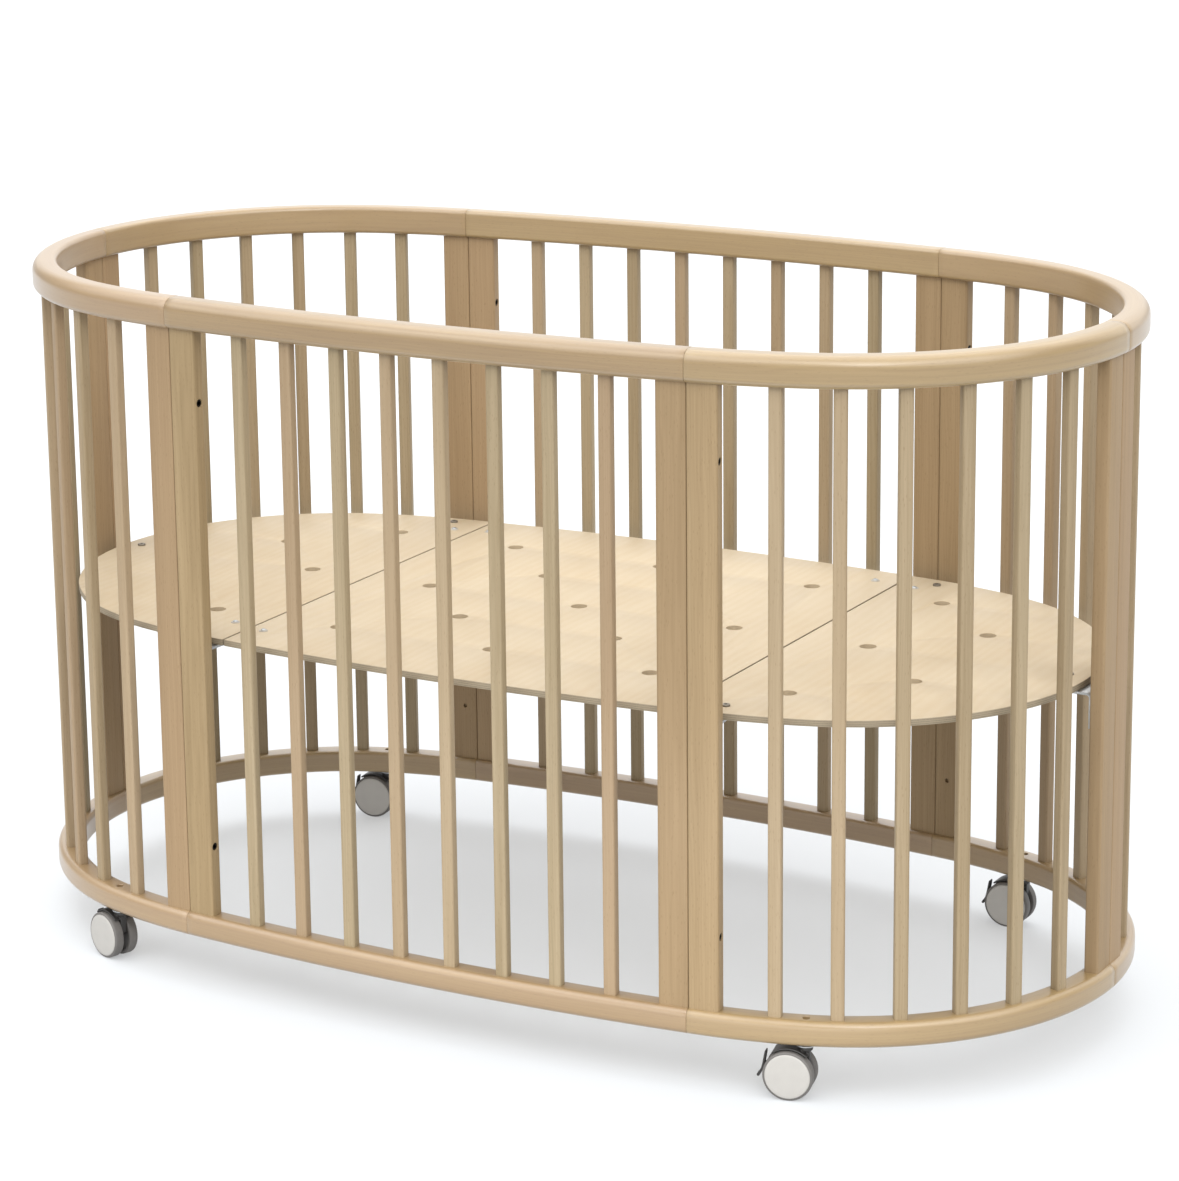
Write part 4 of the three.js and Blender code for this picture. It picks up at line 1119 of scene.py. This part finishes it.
def filleted(corners, reaches, steps=5):
    """The outline with each corner eased by a curve that starts its own reach away from the corner."""
    corners = [Vector(corner) for corner in corners]
    eased = []
    neighbours = zip(corners[-1:] + corners[:-1], corners, corners[1:] + corners[:1])
    for (before, corner, after), reach in zip(neighbours, reaches):
        start = corner.lerp(before, reach / (before - corner).length)
        end = corner.lerp(after, reach / (after - corner).length)
        for i in range(steps + 1):
            t = i / steps
            eased.append(start.lerp(corner, t).lerp(corner.lerp(end, t), t))
    return eased


def bracket_mesh(base, reach, quarter, post_face, plate_top, name):
    """Bent steel bracket: a flange on the posts, a plate under the base and, at a corner, a wing from that
    plate under the middle panel. It is drawn in the joint's own axes."""
    steel, half, drop = base.bracket_steel, base.bracket_half_width, base.bracket_drop
    bend = 2 * steel
    tight, wide = 0.5 * MM, 6 * MM
    if quarter:
        wing, setback = -base.corner_splice, base.splice_setback
        corners = [(-half, bend), (half, bend), (half, reach), (wing, reach), (wing, setback),
                   (-half, setback)]
        reaches = (tight, tight, wide, wide, wide, wide)
    else:
        corners = [(-half, bend), (half, bend), (half, reach), (-half, reach)]
        reaches = (tight, tight, wide, wide)
    turn = quarter or 1
    outline = [(turn * x, post_face + y) for x, y in filleted(corners, reaches)]
    plate = bmesh.new()
    prism(plate, outline, plate_top - steel, plate_top)
    mesh = mesh_from(plate, name)
    # The flange and the bend share one section, drawn in (inwards, height) and swept along the post faces.
    outer = [(bend - bend * math.cos(t), -bend + bend * math.sin(t)) for t in along(0, math.pi / 2, 0.2)]
    inner = [(bend - (bend - steel) * math.cos(t), -bend + (bend - steel) * math.sin(t))
             for t in reversed(along(0, math.pi / 2, 0.2))]
    section = [(0.0, -drop)] + outer + [(bend + MM, 0.0), (bend + MM, -steel)] + inner + [(steel, -drop)]
    sweep = bmesh.new()
    rings = [[Vector((x, post_face + y, plate_top + z)) for y, z in section] for x in (-half, half)]
    skin(sweep, rings)
    mesh = combined(mesh, mesh_from(sweep, "flange"), "UNION", name)
    return bevelled(mesh, 0.4 * MM, 2, name)


def pan_head(radius, height, name):
    """Domed screw head with a cross recess, its underside at z = 0."""
    bm = bmesh.new()
    dome = [(radius * math.cos(t), height * (0.25 + 0.75 * math.sin(t))) for t in along(0, math.pi / 2, 0.2)]
    lathe(bm, [(0, 0), (radius, 0)] + dome[:-1] + [(0, height)], 48)
    arm, half = 0.58 * radius, 0.13 * radius
    quarter = ((arm, -half), (arm, half), (half, half))
    turned = [Matrix.Rotation(math.radians(90 * i), 2) @ Vector(point) for i in range(4) for point in quarter]
    cross = bmesh.new()
    prism(cross, turned, 0.45 * height, 2 * height)
    cutter = mesh_from(cross, "cross")
    first = mesh_from(bm, name)
    return combined(first, cutter, "DIFFERENCE", name)


def cup_washer(radius, hole, height, name):
    """Turned cup washer under a screw head, its underside at z = 0."""
    bm = bmesh.new()
    profile = [(hole, 0), (radius, 0), (radius, 0.25 * height), (radius - 0.6 * MM, 0.8 * height),
               (radius - 1.4 * MM, height), (hole + 0.6 * MM, 0.7 * height), (hole, 0.5 * height)]
    ring_solid(bm, profile, 48)
    return mesh_from(bm, name)


# Places of each bracket's bolt and then of its panel screws, drilled by hand and so a little uneven: how far
# along the rail from the joint, towards the quarter, and how far into the crib, in millimetres.
FIXINGS = {
    "front_right": ((22, 53), (-2, 84), (-55, 80)),
    "right_end": ((3, 49),),
    "back_right": ((22, 49), (5, 75), (-54, 70)),
    "back_left": ((11, 45), (-6, 80), (-54, 76)),
    "left_end": ((-5, 49),),
    "front_left": ((16, 50), (-2, 92), (-55, 81)),
}


class CRIB_OT_base_fixings(bpy.types.Operator):
    """Adds the steel brackets under the base, and the bolts and screws that hold them"""
    bl_idname = "crib.base_fixings"
    bl_label = "Base brackets and screws"

    def execute(self, context):
        scene = context.scene
        plan, timber, base = crib_plan(scene), scene.crib_timber, scene.crib_base
        low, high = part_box("base_panel_middle")
        post_face = timber.post_depth / 2 + timber.joint_gap
        plate_top = low.z - timber.joint_gap
        bolt = socket_head(5 * MM, 2.6 * MM, 4 * MM, 1.8 * MM, "base_bolt_head")
        screw = pan_head(3.2 * MM, 1.8 * MM, "panel_screw_head")
        washer = cup_washer(5.5 * MM, 2 * MM, 1.2 * MM, "panel_cup_washer")
        for joint, s in zip(JOINTS, joint_places(plan)):
            name, _, _, quarter = joint
            node = f"base_bracket_{name}"
            matrix = plan.frame_at(s)
            reach = base.corner_reach if quarter else base.end_reach
            mesh = bracket_mesh(base, reach, quarter, post_face, plate_top, node)
            add_piece(f"{node}_steel", mesh, [finishes.get("zinc")], matrix=matrix,
                      replaced=[node], sharp=30)
            turn = quarter or 1
            (x, y), screws = FIXINGS[name][0], FIXINGS[name][1:]
            place = matrix @ Matrix.Translation((turn * x * MM, y * MM, high.z + 2.2 * MM))
            add_piece(f"base_bolt_{name}", bolt, [finishes.get("dull_steel")], matrix=place)
            for number, (x, y) in enumerate(screws, 1):
                place = matrix @ Matrix.Translation((turn * x * MM, y * MM, high.z))
                add_piece(f"base_washer_{name}_{number}", washer, [finishes.get("sand_nylon")],
                          matrix=place)
                lifted = place @ Matrix.Translation((0, 0, MM))
                add_piece(f"base_screw_{name}_{number}", screw, [finishes.get("zinc")],
                          matrix=lifted)
            # A screw through the flange into each post.
            for side in (-1, 1):
                flat = matrix @ Vector((side * 15 * MM, post_face + base.bracket_steel,
                                        plate_top - 0.62 * base.bracket_drop))
                inwards = matrix.to_3x3() @ Vector((0, 1, 0))
                which = "before" if side < 0 else "after"
                add_piece(f"flange_screw_{name}_{which}", screw, [finishes.get("zinc")],
                          matrix=aimed(flat, inwards))
        return {"FINISHED"}


# ---------------------------------------------------------------------------------------------------------
# Casters
# ---------------------------------------------------------------------------------------------------------

CORNERS = ("front_left", "front_right", "back_left", "back_right")


def framed_joint(name):
    """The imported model's own joint of this name."""
    return next(joint for joint in frame["joints"] if joint["name"] == name)


def caster_places():
    """(corner, matrix, wheel centre) of each caster: Z is the swivel axis and the wheels trail towards -X."""
    found = []
    for corner in CORNERS:
        pivot = Vector(framed_joint(f"caster_{corner}_swivel_turn")["pos_m"])
        roll = framed_joint(f"caster_{corner}_wheel_front_roll")
        centre, axis = Vector(roll["pos_m"]), Vector(roll["axis"])
        turned = Matrix.Rotation(math.atan2(-axis.x, axis.y), 4, "Z")
        matrix = Matrix.Translation((pivot.x, pivot.y, 0.0)) @ turned
        found.append((corner, matrix, matrix.inverted() @ centre))
    return found


def lever_pivot(corner, matrix):
    """Place of the brake lever's pivot in the caster's own axes."""
    return matrix.inverted() @ Vector(framed_joint(f"caster_{corner}_brake_press")["pos_m"])


# Turns a part that is drawn about Z, such as a wheel or a pin, across the caster.
ACROSS = Matrix.Rotation(math.radians(-90), 4, "X")


def tread_mesh(caster, radius):
    """Soft tread with its rim, hollowed on the inner face, on the +Z side and turned about Z."""
    inner, outer, disc = caster.wheel_inner_face, caster.wheel_outer_face, caster.disc_radius
    shoulder = radius - disc
    crown = [(disc + shoulder * math.sin(t), outer - 0.6 * MM - shoulder * (1 - math.cos(t)))
             for t in along(0, math.pi / 2, 0.18)]
    bore = caster.axle_radius + 0.3 * MM
    hub, hollow = bore + 3.5 * MM, inner + 5 * MM
    rim = disc - 2 * MM
    profile = [(bore, inner), (hub, inner), (hub + 0.4 * MM, hollow), (rim, hollow), (rim + 0.4 * MM, inner),
               (radius - 0.9 * MM, inner), (radius - 0.2 * MM, inner + 0.3 * MM), (radius, inner + 1 * MM)]
    profile += list(reversed(crown)) + [(disc, outer - caster.disc_seat), (bore, outer - caster.disc_seat)]
    bm = bmesh.new()
    ring_solid(bm, profile, 96)
    return mesh_from(bm, "caster_tread")


def disc_mesh(caster):
    """Pale cover disc, gently domed, with an eased edge."""
    disc, outer = caster.disc_radius - 0.25 * MM, caster.wheel_outer_face
    floor = outer - caster.disc_seat
    edge = [(disc, floor), (disc, outer - 0.9 * MM), (disc - 0.3 * MM, outer - 0.4 * MM),
            (disc - 0.9 * MM, outer - 0.15 * MM)]
    dome = [(disc * share, outer + 0.5 * MM * (1 - share * share)) for share in (0.92, 0.8, 0.6, 0.4, 0.2)]
    bm = bmesh.new()
    lathe(bm, [(0, floor)] + edge + dome + [(0, outer + 0.5 * MM)], 96)
    return mesh_from(bm, "caster_disc")


class CRIB_OT_caster_wheels(bpy.types.Operator):
    """Adds the twin wheels of each caster: a grey tread and a pale disc each"""
    bl_idname = "crib.caster_wheels"
    bl_label = "Caster wheels"

    def execute(self, context):
        caster = context.scene.crib_caster
        places = caster_places()
        radius = places[0][2].z
        tread, disc = tread_mesh(caster, radius), disc_mesh(caster)
        for corner, matrix, centre in places:
            for side, which in ((-1, "front"), (1, "back")):
                node = f"caster_{corner}_wheel_{which}"
                outwards = Matrix.Rotation(math.radians(-90 * side), 4, "X")
                place = matrix @ Matrix.Translation(centre) @ outwards
                add_piece(f"{node}_tread", tread, [finishes.get("tread")], body=node,
                          matrix=place, replaced=[node])
                add_piece(f"{node}_disc", disc, [finishes.get("pale_nylon")], body=node,
                          matrix=place)
        return {"FINISHED"}


def across_solid(bm, outline, centre, low, high):
    """Prism across the caster over an outline drawn about the wheels' centre, seen from the front."""
    rings = []
    for y in (high, low):
        rings.append([Vector((centre.x + x, y, centre.z + z)) for x, z in outline])
    skin(bm, rings)


def polar(degrees, radius):
    """Point of the caster's upright plane, about the wheels' centre."""
    return (radius * math.cos(math.radians(degrees)), radius * math.sin(math.radians(degrees)))


def band(inner, outer, start, end, step=math.radians(3)):
    """Outline between two radii, from one angle to another."""
    return arc(outer, start, end, step) + list(reversed(arc(inner, start, end, step)))


def housing_mesh(caster, centre, pivot, boss_top):
    """Nylon housing: web between the wheels, hood over them, arm for the lever, and the boss on the stem."""
    inner, outer = caster.hood_inner_radius, caster.hood_outer_radius
    middle = (inner + outer) / 2
    hub = caster.axle_radius + 6 * MM
    pivot_angle = math.atan2(pivot.z - centre.z, pivot.x - centre.x)
    pivot_radius = math.hypot(pivot.z - centre.z, pivot.x - centre.x)
    neck = (-centre.x + caster.boss_radius - 3 * MM, caster.boss_bottom + 3 * MM - centre.z)
    web = arc(hub, math.radians(200), math.radians(340), math.radians(10)) + [polar(15, 24 * MM), neck]
    web += arc(middle, math.radians(60), caster.hood_back) + [polar(150, 2.6 * hub), polar(175, 2.1 * hub)]
    spread = math.radians(4.5)
    arm = band(2 * hub, pivot_radius, pivot_angle - spread, pivot_angle + spread)
    tip = [(pivot.x - centre.x + x, pivot.z - centre.z + z)
           for x, z in arc(caster.arm_tip_radius, 0, 2 * math.pi, math.radians(15))[:-1]]
    bm = bmesh.new()
    across_solid(bm, web, centre, -caster.web_half_thickness, caster.web_half_thickness)
    across_solid(bm, band(inner, outer, caster.hood_front, caster.hood_back), centre,
                 -caster.hood_half_width, caster.hood_half_width)
    for outline in (arm, tip):
        across_solid(bm, outline, centre, -caster.arm_half_thickness, caster.arm_half_thickness)
    boss = caster.boss_radius
    lathe(bm, [(0, caster.boss_bottom), (boss - 2 * MM, caster.boss_bottom),
               (boss, caster.boss_bottom + 2 * MM),
               (boss, boss_top), (0, boss_top)], 64)
    return moulded(mesh_from(bm, "housing_shells"), 0.45 * MM, 4, "caster_housing")


class CRIB_OT_caster_housings(bpy.types.Operator):
    """Adds the black housing of each caster"""
    bl_idname = "crib.caster_housings"
    bl_label = "Caster housings"

    def execute(self, context):
        caster = context.scene.crib_caster
        shared = None
        for corner, matrix, centre in caster_places():
            node = f"caster_{corner}_housing"
            if shared is None:
                shared = housing_mesh(caster, centre, lever_pivot(corner, matrix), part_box(node)[1].z)
            add_piece(f"{node}_nylon", shared, [finishes.get("black_nylon")],
                      body=f"caster_{corner}_swivel", matrix=matrix, replaced=[node], sharp=60)
        return {"FINISHED"}


def stem_mesh(caster, rail_bottom, gap):
    """Turned steel stem with a flange just below the rail."""
    flange_top = rail_bottom - gap
    flange_bottom = flange_top - caster.flange_thickness
    ease = 0.4 * MM
    stem, flange = caster.stem_radius, caster.flange_radius
    profile = [(0, caster.stem_bottom), (stem - ease, caster.stem_bottom), (stem, caster.stem_bottom + ease),
               (stem, flange_bottom), (flange - ease, flange_bottom), (flange, flange_bottom + ease),
               (flange, flange_top - ease), (flange - ease, flange_top), (stem, flange_top),
               (stem, caster.stem_top - 1 * MM), (stem - 1 * MM, caster.stem_top), (0, caster.stem_top)]
    bm = bmesh.new()
    lathe(bm, profile, 48)
    return mesh_from(bm, "caster_stem")


def axle_mesh(caster):
    """Steel axle with eased ends, turned about Z."""
    half, radius, ease = caster.axle_half_length, caster.axle_radius, 0.4 * MM
    bm = bmesh.new()
    lathe(bm, [(0, -half), (radius - ease, -half), (radius, -half + ease), (radius, half - ease),
               (radius - ease, half), (0, half)], 40)
    return mesh_from(bm, "caster_axle")


class CRIB_OT_caster_stems(bpy.types.Operator):
    """Adds the steel stem and axle of each caster"""
    bl_idname = "crib.caster_stems"
    bl_label = "Caster stems and axles"

    def execute(self, context):
        caster, timber = context.scene.crib_caster, context.scene.crib_timber
        rail_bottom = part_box("lower_rail_and_slats_front_side")[0].z
        stem, axle = stem_mesh(caster, rail_bottom, timber.joint_gap), axle_mesh(caster)
        zinc = finishes.get("zinc")
        for corner, matrix, centre in caster_places():
            node = f"caster_{corner}_stem"
            add_piece(f"{node}_steel", stem, [zinc], matrix=matrix, replaced=[node])
            node = f"caster_{corner}_axle"
            place = matrix @ Matrix.Translation(centre) @ ACROSS
            add_piece(f"{node}_steel", axle, [zinc], body=f"caster_{corner}_swivel",
                      matrix=place, replaced=[node])
        return {"FINISHED"}


def rounded_off(outline, rounds=3):
    """The outline with its corners cut again and again, which leaves a smooth curve."""
    for _ in range(rounds):
        cut = []
        for (x, y), (next_x, next_y) in zip(outline, outline[1:] + outline[:1]):
            cut.append((0.75 * x + 0.25 * next_x, 0.75 * y + 0.25 * next_y))
            cut.append((0.25 * x + 0.75 * next_x, 0.25 * y + 0.75 * next_y))
        outline = cut
    return outline


# Outlines of the lever's pedal and of its cheeks, in millimetres from the wheels' centre.
PEDAL = ((-28.7, 23.4), (-30.5, 13.2), (-31.8, 6.3), (-33.7, 0.5), (-36.8, -3.8), (-38.4, -5.6), (-36.6, -8),
         (-34.2, -6.4), (-31.5, -0.6), (-29.5, 5.8), (-28.1, 12.8), (-26.4, 23), (-27.4, 24.6))
CHEEK = ((-30.3, 4.3), (-24.4, 4.3), (-23.2, 5.6), (-23.2, 8.2), (-24.4, 9.5), (-30, 9.5))


def lever_mesh(caster, centre, pivot):
    """Brake lever: an upright pedal behind the wheels that ends in a toe, with two cheeks and a pin."""
    pedal = rounded_off([(x * MM, z * MM) for x, z in PEDAL])
    cheek = [(x * MM, z * MM) for x, z in CHEEK]
    bm = bmesh.new()
    across_solid(bm, pedal, centre, -caster.lever_half_width, caster.lever_half_width)
    across_solid(bm, cheek, centre, caster.cheek_inner_face, caster.cheek_outer_face)
    across_solid(bm, cheek, centre, -caster.cheek_outer_face, -caster.cheek_inner_face)
    pin = bmesh.new()
    half = caster.cheek_outer_face - 0.3 * MM
    lathe(pin, [(0, -half), (caster.pin_radius, -half), (caster.pin_radius, half), (0, half)], 24)
    bmesh.ops.transform(pin, matrix=Matrix.Translation(pivot) @ ACROSS, verts=pin.verts)
    pin_mesh = mesh_from(pin, "pin")
    bm.from_mesh(pin_mesh)
    bpy.data.meshes.remove(pin_mesh)
    return moulded(mesh_from(bm, "lever_shells"), 0.35 * MM, 3, "caster_brake_lever")


class CRIB_OT_brake_levers(bpy.types.Operator):
    """Adds the brake lever of each caster"""
    bl_idname = "crib.brake_levers"
    bl_label = "Brake levers"

    def execute(self, context):
        caster = context.scene.crib_caster
        shared = None
        for corner, matrix, centre in caster_places():
            node = f"caster_{corner}_brake_lever"
            if shared is None:
                shared = lever_mesh(caster, centre, lever_pivot(corner, matrix))
            add_piece(f"{node}_nylon", shared, [finishes.get("black_nylon")],
                      body=f"caster_{corner}_brake", matrix=matrix, replaced=[node], sharp=60)
        return {"FINISHED"}


# ---------------------------------------------------------------------------------------------------------
# Studio
# ---------------------------------------------------------------------------------------------------------

# Far lamps: strength, then width, turn from the crib's front and height above the horizon in degrees.
LAMPS = (
    ("overhead", 1.6, 100, 0, 90),
    ("back_left", 1.06, 60, 210, 62),
    ("left", 0.97, 60, 290, 50),
    ("front_left", 1.2, 50, 330, 35),
    ("front_right", 1.45, 50, 75, 35),
    ("back_right", 0.65, 50, 160, 25),
    ("right", 0.2, 60, 110, 60),
    ("key", 0.7, 14, 35, 38),
    ("high_key", 0.7, 30, 20, 55),
)


class CRIB_OT_studio(bpy.types.Operator):
    """Adds the floor, the soft light and the camera"""
    bl_idname = "crib.studio"
    bl_label = "Studio"

    def execute(self, context):
        scene, studio = context.scene, context.scene.crib_studio
        self.add_floor(scene, studio)
        self.add_light(scene, studio)
        self.add_camera(scene, studio)
        scene.view_settings.view_transform = "Standard"
        return {"FINISHED"}

    def add_floor(self, scene, studio):
        bm = bmesh.new()
        bmesh.ops.create_circle(bm, cap_ends=True, segments=96, radius=studio.floor_radius)
        mesh = mesh_from(bm, "studio_floor")
        mesh.materials.append(glowing_floor(tuple(studio.floor), studio.floor_glow))
        floor = bpy.data.objects.new("studio_floor", mesh)
        scene.collection.objects.link(floor)

    def add_light(self, scene, studio):
        world = bpy.data.worlds.new("studio_walls")
        world.use_nodes = True
        walls = world.node_tree.nodes["Background"]
        walls.inputs["Color"].default_value = (1.0, 1.0, 1.0, 1.0)
        # One white wall stands behind the camera, and a low one behind the crib shows in the lacquer.
        direction = add_node(world, "ShaderNodeTexCoord").outputs["Generated"]
        turn = Matrix.Rotation(studio.camera_azimuth, 3, "Z")
        front = turn @ Vector((0.0, -1.0, 0.0))
        back = turn @ Vector((0.0, 1.0, 0.3)).normalized()
        facing = add_node(world, "ShaderNodeVectorMath", {0: direction, 1: front}, operation="DOT_PRODUCT")
        near = add_node(world, "ShaderNodeMapRange",
                        {"Value": facing.outputs["Value"], "From Min": 0.55, "From Max": 0.85,
                         "To Min": studio.room, "To Max": studio.room + studio.front_wall})
        facing = add_node(world, "ShaderNodeVectorMath", {0: direction, 1: back}, operation="DOT_PRODUCT")
        far = add_node(world, "ShaderNodeMapRange",
                       {"Value": facing.outputs["Value"], "From Min": 0.86, "From Max": 0.94,
                        "To Min": 0.0, "To Max": studio.back_wall})
        both = add_node(world, "ShaderNodeMath", {0: near.outputs["Result"], 1: far.outputs["Result"]},
                        operation="ADD")
        world.node_tree.links.new(both.outputs["Value"], walls.inputs["Strength"])
        scene.world = world
        for name, strength, *degrees in LAMPS:
            self.add_lamp(scene, name, strength * studio.lamps, *map(math.radians, degrees))
        self.add_strip(scene, studio)

    def add_lamp(self, scene, name, strength, spread, azimuth, elevation):
        """A soft light from far away, so that it is even over the whole floor."""
        light = bpy.data.lights.new(name, "SUN")
        light.energy, light.angle = strength, spread
        lamp = bpy.data.objects.new(name, light)
        turn = Matrix.Rotation(azimuth, 4, "Z") @ Matrix.Rotation(math.pi / 2 - elevation, 4, "X")
        lamp.matrix_world = turn @ Matrix.Translation((0, 0, 4))
        scene.collection.objects.link(lamp)

    def add_strip(self, scene, studio):
        """A low strip light on the camera's side, which lifts the lower rail and the feet of the slats."""
        light = bpy.data.lights.new("strip", "AREA")
        light.shape, light.size, light.size_y, light.energy = "RECTANGLE", 1.8, 0.15, studio.strip
        lamp = bpy.data.objects.new("strip", light)
        turn = Matrix.Rotation(studio.strip_turn, 4, "Z") @ Matrix.Rotation(math.pi / 2, 4, "X")
        lamp.matrix_world = Matrix.Translation((0, 0, studio.strip_height)) @ turn @ Matrix.Translation(
            (0, 0, studio.strip_distance))
        lamp.visible_camera = False
        scene.collection.objects.link(lamp)

    def add_camera(self, scene, studio):
        data = bpy.data.cameras.new("studio_camera")
        data.sensor_fit, data.sensor_width, data.lens = "HORIZONTAL", 36.0, studio.camera_lens
        data.shift_x, data.shift_y = studio.camera_shift_x, studio.camera_shift_y
        camera = bpy.data.objects.new("studio_camera", data)
        turn = Matrix.Rotation(studio.camera_azimuth, 4, "Z")
        tilt = Matrix.Rotation(math.pi / 2 - studio.camera_elevation, 4, "X")
        roll = Matrix.Rotation(studio.camera_roll, 4, "Z")
        camera.matrix_world = Matrix.Translation(studio.camera_place) @ turn @ tilt @ roll
        scene.collection.objects.link(camera)
        scene.camera = camera


# ---------------------------------------------------------------------------------------------------------
# Add-on
# ---------------------------------------------------------------------------------------------------------

SETTINGS = (
    ("crib_plan", PlanSettings),
    ("crib_timber", TimberSettings),
    ("crib_base", BaseSettings),
    ("crib_caster", CasterSettings),
    ("crib_finish", FinishSettings),
    ("crib_studio", StudioSettings),
)
OPERATORS = (
    CRIB_OT_top_rails,
    CRIB_OT_lower_rails,
    CRIB_OT_slats,
    CRIB_OT_posts,
    CRIB_OT_connecting_bolts,
    CRIB_OT_base_panels,
    CRIB_OT_base_fixings,
    CRIB_OT_caster_wheels,
    CRIB_OT_caster_housings,
    CRIB_OT_caster_stems,
    CRIB_OT_brake_levers,
    CRIB_OT_studio,
)


class CRIB_PT_panel(bpy.types.Panel):
    """Lists the crib's operators"""
    bl_idname = "CRIB_PT_panel"
    bl_label = "Oval crib"
    bl_space_type = "VIEW_3D"
    bl_region_type = "UI"
    bl_category = "Crib"

    def draw(self, context):
        for operator in OPERATORS:
            self.layout.operator(operator.bl_idname)


def register():
    for name, settings in SETTINGS:
        bpy.utils.register_class(settings)
        setattr(bpy.types.Scene, name, bpy.props.PointerProperty(type=settings))
    for cls in OPERATORS + (CRIB_PT_panel,):
        bpy.utils.register_class(cls)


def unregister():
    for cls in reversed(OPERATORS + (CRIB_PT_panel,)):
        bpy.utils.unregister_class(cls)
    for name, settings in reversed(SETTINGS):
        delattr(bpy.types.Scene, name)
        bpy.utils.unregister_class(settings)


def main():
    register()
    for operator in OPERATORS:
        group, name = operator.bl_idname.split(".")
        getattr(getattr(bpy.ops, group), name)()


if __name__ == "__main__":
    main()
